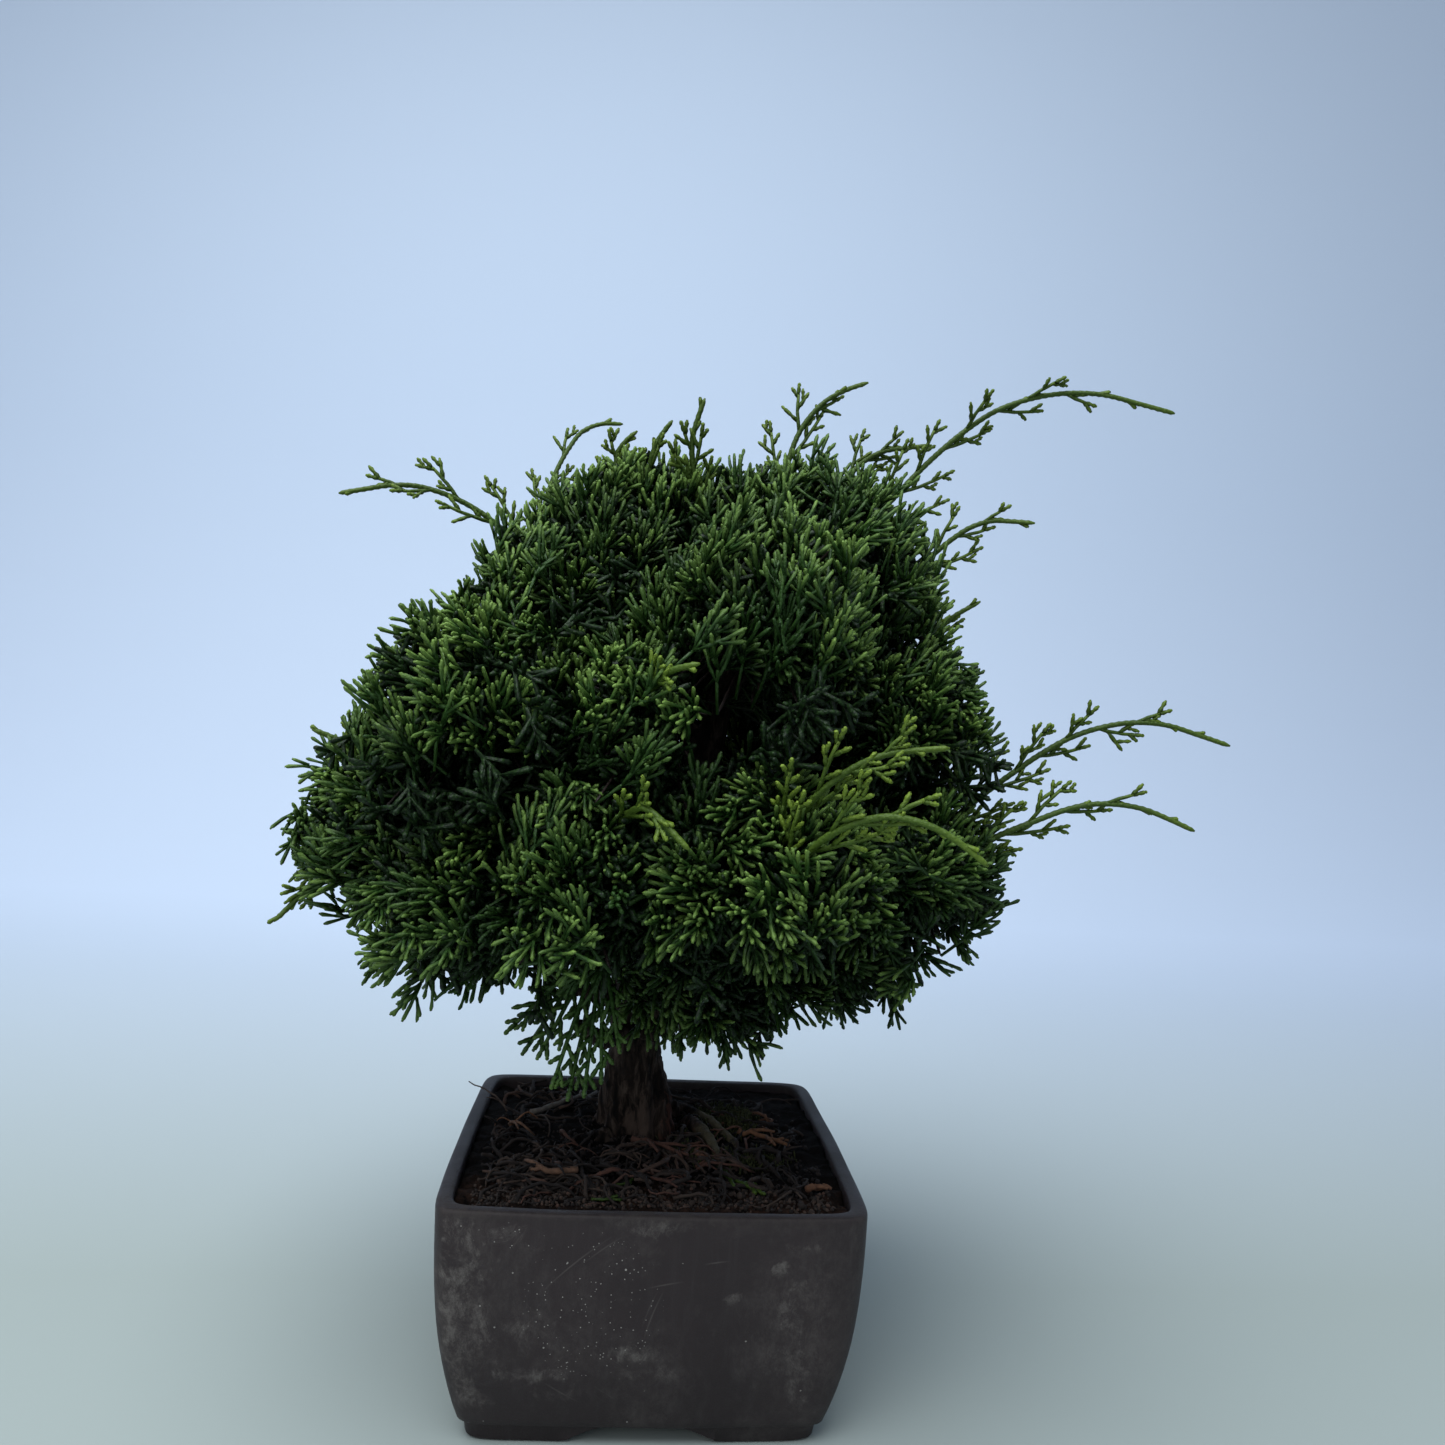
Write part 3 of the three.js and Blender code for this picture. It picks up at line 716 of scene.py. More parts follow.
def pot_profile():
    """(half-width, height, squareness) round the pot's whole section, from the drain hole outwards."""
    low, high = FOOT_HEIGHT + 0.6 * MM, RIM_HEIGHT - LIP_HEIGHT
    heights = [low + (high - low) * (i / SIDE_STEPS) ** 1.3 for i in range(SIDE_STEPS + 1)]
    outside = [(pot_side(height), height, 1) for height in heights]
    lip = []
    for i in range(1, LIP_STEPS):
        turn = math.pi * i / LIP_STEPS
        half = WALL / 2 * math.copysign(abs(math.cos(turn)) ** 0.55, math.cos(turn))
        height = high + LIP_HEIGHT * math.sin(turn) ** 0.6
        lip.append((pot_side(RIM_HEIGHT) - WALL / 2 + half, height, 1))
    inside = [(pot_side(z * MM) - WALL, z * MM, 1) for z in INSIDE_HEIGHTS]
    inside.append((pot_side(14 * MM) - WALL - 0.5 * MM, 13 * MM, 1))
    under, floor = ([(x * MM, z * MM, square) for x, z, square in row] for row in (UNDERSIDE, FLOOR))
    return under + outside + lip + inside + floor


def place_ring(ring, half, height, squareness):
    """Moves a ring of corners to a level of the pot's section."""
    for i, vert in enumerate(ring):
        point = pot_outline(math.tau * i / POT_SEGMENTS, squareness) * half
        vert.co = POT_MIDDLE + point + UP * height


def pot_body():
    """The pot as one closed loft round its section."""
    bm = bmesh.new()
    lowest, *levels = pot_profile()
    ring = bmesh.ops.create_circle(bm, segments=POT_SEGMENTS, radius=1)["verts"]
    edges = list(bm.edges)
    first = edges
    place_ring(ring, *lowest)
    for level in levels:
        corners, edges = extruded(bm, edges)
        fresh = set(corners)
        ring = [next(e.other_vert(v) for e in v.link_edges if e.other_vert(v) in fresh) for v in ring]
        place_ring(ring, *level)
    bmesh.ops.bridge_loops(bm, edges=first + edges)
    return bm


def arch_prism(turn):
    """The cutter for a pair of arches: a flat-topped tunnel with sloping shoulders."""
    bm = bmesh.new()
    outline = [(ARCH_FOOT + 1.5 * MM, -2 * MM)]
    for i in range(ARCH_STEPS + 1):
        share = i / ARCH_STEPS
        across = ARCH_FOOT + (ARCH_TOP - ARCH_FOOT) * share
        eased = share * share * (3 - 2 * share)
        outline.append((across, ARCH_HEIGHT * (0.5 * share + 0.5 * eased)))
    outline += [(-x, z) for x, z in reversed(outline)]
    reach = 2 * POT_HALF
    verts = [bm.verts.new((x, -reach, z)) for x, z in outline]
    face = bm.faces.new(verts)
    made = bmesh.ops.extrude_face_region(bm, geom=[face])["geom"]
    moved = [item for item in made if isinstance(item, bmesh.types.BMVert)]
    bmesh.ops.translate(bm, verts=moved, vec=(0, 2 * reach, 0))
    bmesh.ops.rotate(bm, verts=bm.verts, matrix=Matrix.Rotation(turn, 3, "Z"))
    bmesh.ops.translate(bm, verts=bm.verts, vec=POT_MIDDLE)
    return to_mesh(bm, "arch")


def cut(mesh, cutters):
    """The mesh with the cutters taken away."""
    body = in_scene("body", mesh)
    helpers = [body]
    for cutter in cutters:
        helper = in_scene("cutter", cutter)
        helpers.append(helper)
        boolean = body.modifiers.new("cut", "BOOLEAN")
        boolean.operation = "DIFFERENCE"
        boolean.solver = "EXACT"
        boolean.object = helper
    result = evaluated_mesh(body)
    for helper in helpers:
        bpy.data.objects.remove(helper)
    return result


def wobble(place):
    """A smooth step of up to 1 on each axis, with a part of the noise for each."""
    return Vector([noise.noise(place + 31.7 * axis * UP) for axis in range(3)])


def add_pot():
    """The pot, cut by its two arched tunnels, with hand-made unevenness."""
    mesh = cut(to_mesh(pot_body(), "pot_clay"), [arch_prism(0), arch_prism(math.pi / 2)])
    bm = bmesh.new()
    bm.from_mesh(mesh)
    for vert in bm.verts:
        if vert.co.z > 1 * MM:
            vert.co += wobble(vert.co * WOBBLE_SCALE) * CLAY_WOBBLE
    mesh = to_mesh(bm, "pot_clay")
    mesh.set_sharp_from_angle(angle=CLAY_EDGE_ANGLE)
    add_piece("pot_clay", mesh, clay_material(), "clay", "pot")


# ---- Trunk and soil ----

TRUNK_FOOT = POT_MIDDLE + Vector((-4, 9, 66)) * MM
TRUNK_TOP = 125 * MM
TRUNK_VOXEL = 0.9 * MM
FLARE_TOP, FLARE_RADIUS = 92 * MM, 17 * MM
ROOT_TOP, ROOT_START, ROOT_FULL = 76 * MM, 12 * MM, 17 * MM
ROOT_RISE = 3.2 * MM
SOIL_LEVEL = 60 * MM
SOIL_RISE = 2 * MM
SOIL_SPREAD = 0.02
SOIL_VOXEL = 1.4 * MM


def add_trunk():
    """The trunk and its roots with flaking strips, and ribs on the flared foot."""
    bm = remeshed(merged_copy("trunk"), TRUNK_VOXEL)
    bm.normal_update()
    moves = []
    for vert in bm.verts:
        place = vert.co
        strips = noise.noise(Vector((place.x * 330, place.y * 330, place.z * 60)))
        plates = noise.noise(Vector((place.x * 800, place.y * 800, place.z * 260)))
        knobs = noise.noise(place * 110)
        out = Vector((place.x - TRUNK_FOOT.x, place.y - TRUNK_FOOT.y, 0))
        flare = held((FLARE_TOP - place.z) / (FLARE_TOP - SOIL_LEVEL)) if out.length < FLARE_RADIUS else 0
        ribs = noise.noise(Vector((*(out.normalized() * 2.1).xy, place.z * 18)))
        root = held((out.length - ROOT_START) / (ROOT_FULL - ROOT_START)) if place.z < ROOT_TOP else 0
        thick = (1.0 if place.z < TRUNK_TOP else 0.3) * (1 - 0.75 * root)
        shift = thick * (0.4 + 1.7 * strips + 0.9 * plates + 1.3 * knobs) + flare * (0.6 + 4.5 * ribs)
        moves.append((vert, vert.normal * shift * MM + root * ROOT_RISE * UP))
    for vert, move in moves:
        vert.co += move
    add_piece("trunk_bark", to_mesh(bm, "trunk_bark"), bark_material(), "bark", "trunk")


def add_soil():
    """The soil with a lumpy top; returns its search tree, on which the litter is laid."""
    bm = remeshed(merged_copy("soil"), SOIL_VOXEL)
    for vert in bm.verts:
        if vert.co.z > SOIL_LEVEL:
            vert.co += SOIL_SPREAD * Vector((vert.co.x - POT_MIDDLE.x, vert.co.y - POT_MIDDLE.y, 0))
            lumps = 1.4 * noise.noise(vert.co * 160) + 0.9 * noise.noise(vert.co * 420)
            vert.co.z += SOIL_RISE + lumps * MM
    tree = BVHTree.FromBMesh(bm)
    add_piece("soil_mix", to_mesh(bm, "soil_mix"), soil_material(), "soil", "soil")
    return tree


# ---- Foliage ----

LONG = branchlet_unit("long", LONG_LEVELS)
CURVED = branchlet_unit("curved", LONG_LEVELS, 2.2)
SHORT = branchlet_unit("short", SHORT_LEVELS)
BLUNT = branchlet_unit("blunt", BLUNT_LEVELS)
REST = {unit.name: resting(unit) for unit in (LONG, CURVED, SHORT, BLUNT)}

WOOD = {"tint": 0.3, "fresh": 0.0, "leaf": 0.0}
# Deep, middle and tip colours. The deep one is older foliage, made darker still as painted shade for the
# sprays inside the crown; the tip one is fresh growth, made paler to stand in for highlights as well, a
# painted highlight.
CROWN_COLOURS = ((0.0022, 0.0090, 0.0022), (0.031, 0.084, 0.0135), (0.165, 0.275, 0.055))
CROWN_MIDDLE = POT_MIDDLE + Vector((3, -2, 175)) * MM
CROWN_VOXEL, CROWN_SMOOTHINGS = 2.0 * MM, 8
SWELL = 6.0 * MM  # of the pads, to close the crown
DRAW_IN = 3.5 * MM  # of the tips of the sprays, under the swollen surface
TRIES = 8  # random places for each place that is kept
SPACING, UNDER_SPACING, INNER_SPACING = 7.6 * MM, 10.0 * MM, 8.5 * MM
UNDERSIDE_TILT = -0.35  # the normal's height below which a surface counts as an underside
INNER_DEPTH = 14 * MM
CORE_SHARE = 620 * MM**3  # of the crown's box to each random place in its core
CORE_DEPTH = 11 * MM
GAP_REACH, GAP_SIDES = 24 * MM, 4
NARROW_GAP = 6 * MM
SHADE_RAYS, SHADE_REACH = 8, 34 * MM
HOLLOW = POT_MIDDLE + Vector((8, -52, 208)) * MM  # the dark gap between the front pads
HOLLOW_SIZE = Vector((16, 50, 21)) * MM
TRUNK_CLEAR = 34 * MM
BRIGHT_PADS = {"foliage_front_left": 0.10, "foliage_low_front_right": 0.12, "foliage_top_left": 0.12}
LOOSE_PAD = "foliage_hanging_spray"
HANGING_SPRAYS = 8

# Sprays: how long and thick their parts are, and by how many degrees each leaves its axis.
LEAF_THICKNESS = 1.15 * MM
SPRAY_REACH, SHADED_REACH = 26 * MM, 16 * MM
SPRAY_JOINTS, SHADED_JOINTS = 4, 3
SIDE_LENGTHS, SHADED_LENGTHS = (8.0, 13.5), (6, 10)
SIDE_FORK, SPRAY_FORK, SHADED_FORK = (24, 40), (24, 50), (35, 65)
ROUND_STEP = (1.9, 2.9)  # radians round the axis from one branchlet to the next
FORK_CHANCE = 0.42
PROUD_CHANCE = 0.16


def crown_surface(pads):
    """The pads swollen into one even surface, in which their seams are grooves."""
    swollen = bmesh.new()
    for node in pads:
        bm = merged_copy(node)
        bm.normal_update()
        for vert in bm.verts:
            vert.co += vert.normal * SWELL
        mesh = to_mesh(bm, "swollen")
        swollen.from_mesh(mesh)
        bpy.data.meshes.remove(mesh)
    bm = remeshed(swollen, CROWN_VOXEL)
    axes = {"use_axis_" + axis: True for axis in "xyz"}
    for _ in range(CROWN_SMOOTHINGS):
        bmesh.ops.smooth_vert(bm, verts=bm.verts, factor=0.5, **axes)
    bm.normal_update()
    return bm


def scattered(bm, count, rng):
    """Random places on a surface with the normals there."""
    faces = list(bm.faces)
    for face in rng.choices(faces, weights=[face.calc_area() for face in faces], k=count):
        place = face.calc_center_median() + Vector([rng.uniform(-1, 1) for _ in range(3)]) * MM
        yield place, sum((vert.normal for vert in face.verts), Vector()).normalized()


def evenly(bm, tree, spacing, under_spacing, open_only, rng):
    """Places about a spacing apart all over a surface, wider apart underneath, with the normals there.

    If only open places are asked for, those in narrow gaps are left out.
    """
    area = sum(face.calc_area() for face in bm.faces)
    cells = {}
    for place, normal in scattered(bm, int(TRIES * area / spacing**2), rng):
        least = spacing if normal.z > UNDERSIDE_TILT else under_spacing
        cell = tuple(int(value // under_spacing) for value in place)
        near = [
            other
            for dx in (-1, 0, 1)
            for dy in (-1, 0, 1)
            for dz in (-1, 0, 1)
            for other in cells.get((cell[0] + dx, cell[1] + dy, cell[2] + dz), ())
        ]
        if any((place - other).length < least for other in near):
            continue
        if open_only and tree.ray_cast(place + 3 * MM * normal, normal, NARROW_GAP)[0] is not None:
            continue
        cells.setdefault(cell, []).append(place)
        yield place, normal


def by_pad(places, owners):
    """The places sorted into lists by the pad that is nearest to each."""
    shares = {node: [] for node, _ in owners}
    for place, normal in places:
        owner = min(owners, key=lambda pair: pair[1].find_nearest(place)[3])[0]
        shares[owner].append((place, normal))
    return shares


def leaning(way, across, degrees):
    """A heading turned from one towards another that is square to it."""
    turn = math.radians(degrees)
    return (way * math.cos(turn) + across * math.sin(turn)).normalized()


def grow_side(greens, base, way, axis, length, growth, rng):
    """A side branchlet that bends forwards along its axis, often with a shorter one on it."""
    tip = base + way * length
    greens.twig(CURVED, base, tip, LEAF_THICKNESS, rng, axis, **growth)
    across = way.cross(axis).normalized()
    for side in (-1, 1):
        if rng.random() < FORK_CHANCE:
            root = base.lerp(tip, rng.uniform(0.15, 0.5))
            out = leaning(way, (across * side + 0.4 * axis).normalized(), rng.uniform(*SIDE_FORK))
            end = root + out * length * rng.uniform(0.4, 0.7)
            greens.twig(SHORT, root, end, 0.94 * LEAF_THICKNESS, rng, **{**growth, "along": (0.35, 1.0)})


def grow_spray(greens, start, tip, growth, rng):
    """A leafy shoot: a bent axis with side branchlets all round its outer part."""
    reach = (tip - start).length
    heading = (tip - start).normalized()
    across = heading.orthogonal().normalized()
    azimuth = rng.uniform(0, math.tau)
    base = {**growth, "along": (0.0, 0.3)}
    point = start
    for joint in range(SPRAY_JOINTS):
        share = 0.36 + 0.36 * joint / (SPRAY_JOINTS - 1)
        sway = Matrix.Rotation(rng.uniform(0, math.tau), 3, heading) @ across * 0.9 * MM
        following = start.lerp(tip, share) + sway
        greens.twig(SHORT, point, following, 0.9 * LEAF_THICKNESS, rng, **base)
        point = following
        for side in range(2):
            azimuth += rng.uniform(*ROUND_STEP)
            out = Matrix.Rotation(azimuth, 3, heading) @ across
            way = leaning(heading, out, rng.uniform(*SPRAY_FORK))
            length = rng.uniform(*SIDE_LENGTHS) * (1.12 - 0.4 * joint / SPRAY_JOINTS) * MM
            length = min(0.55 * reach, length)
            grow_side(greens, point, way, heading, length, growth, rng)
    grow_side(greens, point, (tip - point).normalized(), across, (tip - point).length, growth, rng)


def grow_shaded(greens, start, tip, growth, rng):
    """A plainer spray for the depth of a pad, dark with the painted shade of the growth values it is
    given.
    """
    heading = (tip - start).normalized()
    across = heading.orthogonal().normalized()
    azimuth = rng.uniform(0, math.tau)
    greens.twig(SHORT, start, tip, 1.1 * LEAF_THICKNESS, rng, **growth)
    for joint in range(SHADED_JOINTS):
        point = start.lerp(tip, 0.25 + 0.25 * joint)
        for side in range(2):
            azimuth += rng.uniform(*ROUND_STEP)
            out = Matrix.Rotation(azimuth, 3, heading) @ across
            way = leaning(heading, out, rng.uniform(*SHADED_FORK))
            end = point + way * rng.uniform(*SHADED_LENGTHS) * MM
            greens.twig(SHORT, point, end, 1.35 * LEAF_THICKNESS, rng, **growth)


def spray_heading(place, normal, source, rng):
    """Sprays sweep along the pad away from its middle, half lifted from it; those underneath hang."""
    outward = (place - source).normalized()
    flat = outward - normal * outward.dot(normal)
    flat *= 1.2 / (0.35 + flat.length)
    lift = 0.30 if normal.z > -0.3 else -0.34
    return (0.62 * flat + 0.44 * normal + lift * UP + jitter(rng, 0.27)).normalized()


def shut_in(tree, place, normal, rng):
    """The share of ways out of a place that meet the crown again close by, by which its spray is darkened
    as painted shade.
    """
    start = place + 3 * MM * normal
    met = 0
    for _ in range(SHADE_RAYS):
        way = (normal + jitter(rng, 0.6)).normalized()
        met += tree.ray_cast(start, way, SHADE_REACH)[0] is not None
    return met / SHADE_RAYS


def buried(tree, place, depth=0.0):
    """Whether a place lies deeper than this inside a closed surface."""
    hit, normal, _, distance = tree.find_nearest(place)
    return (hit - place).dot(normal) > 0 and distance > depth


def closed_in(tree, place):
    """Whether a place lies in a narrow gap, with the crown close by on most sides."""
    ways = [Vector(row) * side for row in Matrix.Identity(3) for side in (-1, 1)]
    return sum(tree.ray_cast(place, way, GAP_REACH)[0] is not None for way in ways) >= GAP_SIDES


def core_places(bm, tree, rng):
    """Random places deep inside the crown and in its gaps, one to every CORE_SHARE, with the ways out."""
    low, high = (Vector([pick(vert.co[i] for vert in bm.verts) for i in range(3)]) for pick in (min, max))
    size = high - low
    for _ in range(round(size.x * size.y * size.z / CORE_SHARE)):
        place = Vector([rng.uniform(low[i], high[i]) for i in range(3)])
        if buried(tree, place, CORE_DEPTH) or (not buried(tree, place) and closed_in(tree, place)):
            yield place, tree.find_nearest(place)[1]


def in_hollow(place):
    """Whether a place is in the dark gap between the front pads."""
    away = place - HOLLOW
    return sum((away[i] / HOLLOW_SIZE[i]) ** 2 for i in range(3)) < 1


def stand_proud(place, normal, rng):
    """How many millimetres a spray stands out of its neighbours; some of those underneath hang down."""
    proud = rng.uniform(-5.5, 1.5)
    beside = (place.xy - TRUNK_FOOT.xy).length > TRUNK_CLEAR
    if rng.random() < PROUD_CHANCE:
        return proud + rng.uniform(3, 7)
    if normal.z < UNDERSIDE_TILT:
        return proud + (rng.uniform(3, 9) if beside and rng.random() < 0.4 else -6)
    return proud


def spray_look(node, mood, place, normal, proud, shade, rng):
    """A spray's growth values: brighter and fresher where it faces up and stands out, as painted light,
    and darker where it is sunk or shut in, as painted shade.
    """
    patch = noise.noise(place * 45)
    # Painted light and shade: sprays that face up or stand out are made brighter, sunk or shut-in ones
    # darker.
    depth = 0.05 * min(0.0, proud)
    tint = held(mood + 0.08 + 0.25 * patch + 0.15 * normal.z + depth - 0.5 * shade + rng.gauss(0, 0.13))
    fresh = 0.50 + BRIGHT_PADS.get(node, 0) + 0.5 * patch + 0.32 * normal.z + 1.6 * depth - 0.8 * shade
    return {"tint": tint, "fresh": held(fresh + rng.gauss(0, 0.16))}


def add_outer_sprays(greens, node, places, source, crown, rng):
    """The lit sprays of a pad, each from inside the crown to a little under its swollen surface."""
    low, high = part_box(node)
    middle = (low + high) / 2
    mood = rng.uniform(0.42, 0.58)
    for place, normal in places:
        # Painted shade: how shut in the place is darkens its spray.
        shade = shut_in(crown, place, normal, rng)
        heading = spray_heading(place, normal, source, rng)
        proud = stand_proud(place, normal, rng)
        tip = place - normal * DRAW_IN + heading * (3 * noise.noise(place * 60) + proud) * MM
        reach = min(SPRAY_REACH * rng.uniform(0.85, 1.15), 1.05 * (place - source).length)
        start = tip - heading * reach
        if not buried(crown, start):
            start = place - normal * 0.6 * reach
        if in_hollow(place) or in_hollow(tip):
            continue
        grow_spray(greens, start, tip, spray_look(node, mood, place, normal, proud, shade, rng), rng)
        if buried(crown, start, 4 * MM):
            greens.twig(SHORT, middle.lerp(start, 0.5), start, 0.8 * MM, rng, **WOOD)


def add_pad(node, outer, inner, core, crown, material):
    """A pad: lit sprays at its surface, darker ones below them and the darkest in its depth, darkened as
    painted shade.
    """
    rng = random.Random(node)
    low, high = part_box(node)
    source = ((low + high) / 2).lerp(CROWN_MIDDLE, 0.3) - 6 * MM * UP
    greens = Greenery()
    add_outer_sprays(greens, node, outer, source, crown, rng)
    # Below the lit sprays, darker ones with low tints and no fresh tips: painted shade.
    for place, normal in inner:
        heading = spray_heading(place, normal, source, rng)
        tip = place - normal * INNER_DEPTH * rng.uniform(0.7, 1.25)
        start = tip - heading * SHADED_REACH
        if buried(crown, start, 3 * MM) and buried(crown, tip, 5 * MM) and not in_hollow(tip):
            grow_shaded(greens, start, tip, {"tint": rng.uniform(0, 0.12), "fresh": 0.0}, rng)
    # In the depth, the darkest sprays, with the lowest tints: painted shade.
    for place, outward in core:
        heading = (outward + jitter(rng, 0.6)).normalized()
        if not in_hollow(place):
            start, tip = place - heading * 8 * MM, place + heading * 5 * MM
            grow_shaded(greens, start, tip, {"tint": rng.uniform(0, 0.06), "fresh": 0.0}, rng)
    greens.add_to_scene(node.replace("foliage_", "sprays_"), material, "foliage", node)


def tree_of(node):
    """A search tree of a CAD node."""
    bm = bmesh.new()
    bm.from_mesh(NODES[node].data)
    tree = BVHTree.FromBMesh(bm)
    bm.free()
    return tree


def add_hanging_spray(node, material):
    """A loose, open spray of flat sprigs that hangs in front of the trunk from one thin branch."""
    rng = random.Random(node)
    low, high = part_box(node)
    middle = (low + high) / 2
    source = Vector((middle.x + 6 * MM, middle.y + 8 * MM, high.z + 8 * MM))
    greens = Greenery()
    for i in range(HANGING_SPRAYS):
        across = -1.25 + 2.2 * i / (HANGING_SPRAYS - 1)
        foot = middle + Vector((across * (high.x - low.x) * 0.5, rng.uniform(-12, 2) * MM, 0))
        foot.z = low.z + (abs(across) * 12 + rng.uniform(-9, 2)) * MM
        start = source.lerp(foot, rng.uniform(0.20, 0.34))
        way = (foot - start).normalized()
        growth = {"tint": rng.uniform(0.4, 0.8), "fresh": rng.uniform(0.1, 0.4)}
        fan = way.cross(Vector((rng.uniform(-0.4, 0.4), -1, 0))).normalized()
        greens.rod(smooth_line([source, start], 4), [0.6 * MM] * 4, 5, **{**growth, "along": (0, 0.2)})
        grow_sprig(greens, start, way, (foot - start).length, fan, way, growth, rng)
    for i in range(2):
        greens.twig(SHORT, TRUNK_FOOT + Vector((-3, -6, 52 + 8 * i)) * MM, source, 1.3 * MM, rng, **WOOD)
    greens.add_to_scene("hanging_sprays", material, "foliage", node)


def add_foliage():
    """The whole crown: places over its surface and in its depth, shared out among the pads."""
    material = foliage_material("scale_leaves", *CROWN_COLOURS)
    pads = sorted(node for node in NODES if node.startswith("foliage_") and node != LOOSE_PAD)
    owners = [(node, tree_of(node)) for node in pads]
    bm = crown_surface(pads)
    crown = BVHTree.FromBMesh(bm)
    rng = random.Random("crown")
    outer = by_pad(evenly(bm, crown, SPACING, UNDER_SPACING, True, rng), owners)
    inner = by_pad(evenly(bm, crown, INNER_SPACING, INNER_SPACING, False, rng), owners)
    core = by_pad(core_places(bm, crown, rng), owners)
    bm.free()
    for node in pads:
        add_pad(node, outer[node], inner[node], core[node], crown, material)
    add_hanging_spray(LOOSE_PAD, material)


# ---- Shoots ----

YOUNG_COLOURS = ((0.019, 0.040, 0.006), (0.068, 0.122, 0.014), (0.190, 0.285, 0.032))
SHOOT_THICKNESS = 2.1 * MM
RING_GAP = 1.2 * MM  # more than a plain stem's ring is deep, and less than lies between two of them
SPRIG_STEPS = 4
SPRIG_BEND = 0.22
BLADE_GAP, BLADE_THICKNESS = 4.2 * MM, 1.4 * MM
BLADE_LENGTHS, BLADE_FORK = (4.8, 8.4), (28, 43)
SPRIG_FORK, SHORTEST_SPRIG, LONGEST_SPRIG = (24, 38), 5.5 * MM, 26 * MM
SPRIG_GAPS = (5 * MM, 11 * MM)
BUD_LENGTHS, BUD_FORK, BUD_GAP = (3.0, 5.0), (14, 26), 9 * MM


def centre_line(node, root):
    """The middles of a stem's rings in order, starting at the end nearer the root."""
    bm = merged_copy(node)
    points = [vert.co.copy() for vert in bm.verts]
    bm.free()
    start = min(points, key=lambda p: (p - root).length)
    far = max(points, key=lambda p: (p - start).length)
    chord = (far - start).normalized()
    points.sort(key=lambda p: (p - start).dot(chord))
    rings = [[points[0]]]
    for before, after in zip(points, points[1:]):
        if (after - before).dot(chord) > RING_GAP:
            rings.append([])
        rings[-1].append(after)
    return [sum(ring, Vector()) / len(ring) for ring in rings]


def grow_sprig(greens, start, way, length, fan, along_stem, growth, rng):
    """A flat side sprig that bends forwards, with blunt blades on alternate sides, some of them forked."""
    bend = (along_stem - way) * length * SPRIG_BEND
    steps = SPRIG_STEPS
    blade = {**growth, "along": (0.4, 1.0)}
    end_blade = {**growth, "along": (0.5, 1.0)}
    path = [start + way * length * i / steps + bend * (i / steps) ** 2 for i in range(steps + 1)]
    radii = [(0.72 - 0.14 * i / steps) * MM for i in range(steps + 1)]
    greens.rod(path, radii, 5, **{**growth, "along": (0.2, 0.8)})
    count = max(2, round(length / BLADE_GAP))
    side = rng.choice((-1, 1))
    for i in range(count):
        share = 0.28 + 0.66 * i / (count - 1)
        at = min(steps - 1, int(share * steps))
        heading = (path[at + 1] - path[at]).normalized()
        root = path[at].lerp(path[at + 1], share * steps - at)
        side = -side
        flat = (fan - heading * fan.dot(heading)).normalized() * side
        out = leaning(heading, flat, rng.uniform(*BLADE_FORK))
        reach = rng.uniform(*BLADE_LENGTHS) * (1.15 - 0.45 * share) * MM
        tip = root + out * reach
        greens.twig(BLUNT, root, tip, BLADE_THICKNESS, rng, **blade)
        if reach > 5.2 * MM and rng.random() < 0.6:
            fork = root.lerp(tip, rng.uniform(0.4, 0.6))
            end = fork + leaning(heading, -flat, rng.uniform(-2, 16)) * 0.62 * reach
            greens.twig(BLUNT, fork, end, 1.3 * MM, rng, **end_blade)
    last = path[-1] + (path[-1] - path[-2]).normalized() * BLADE_GAP
    greens.twig(BLUNT, path[-1], last, BLADE_THICKNESS, rng, **end_blade)


def stem_radii(rings):
    """A stem's radii: a slow taper, braided by its scale leaves, and a blunt point."""
    radii = []
    for i in range(rings):
        along = i / (rings - 1)
        braid = 1 + (0.10 if i % 2 else -0.06) * (0.25 + 0.75 * along)
        radii.append(SHOOT_THICKNESS / 2 * (1 - 0.26 * along) * braid)
    radii[-1] *= 0.35
    radii[-2] *= 0.85
    return radii


def shoot_look(node, rng):
    """A shoot's growth values; those in front of the crown are paler."""
    bright = 0.3 if node.startswith("shoot_front") else 0.0
    return {"tint": rng.uniform(0.35, 0.6) + bright, "fresh": rng.uniform(0.4, 0.65) + bright}


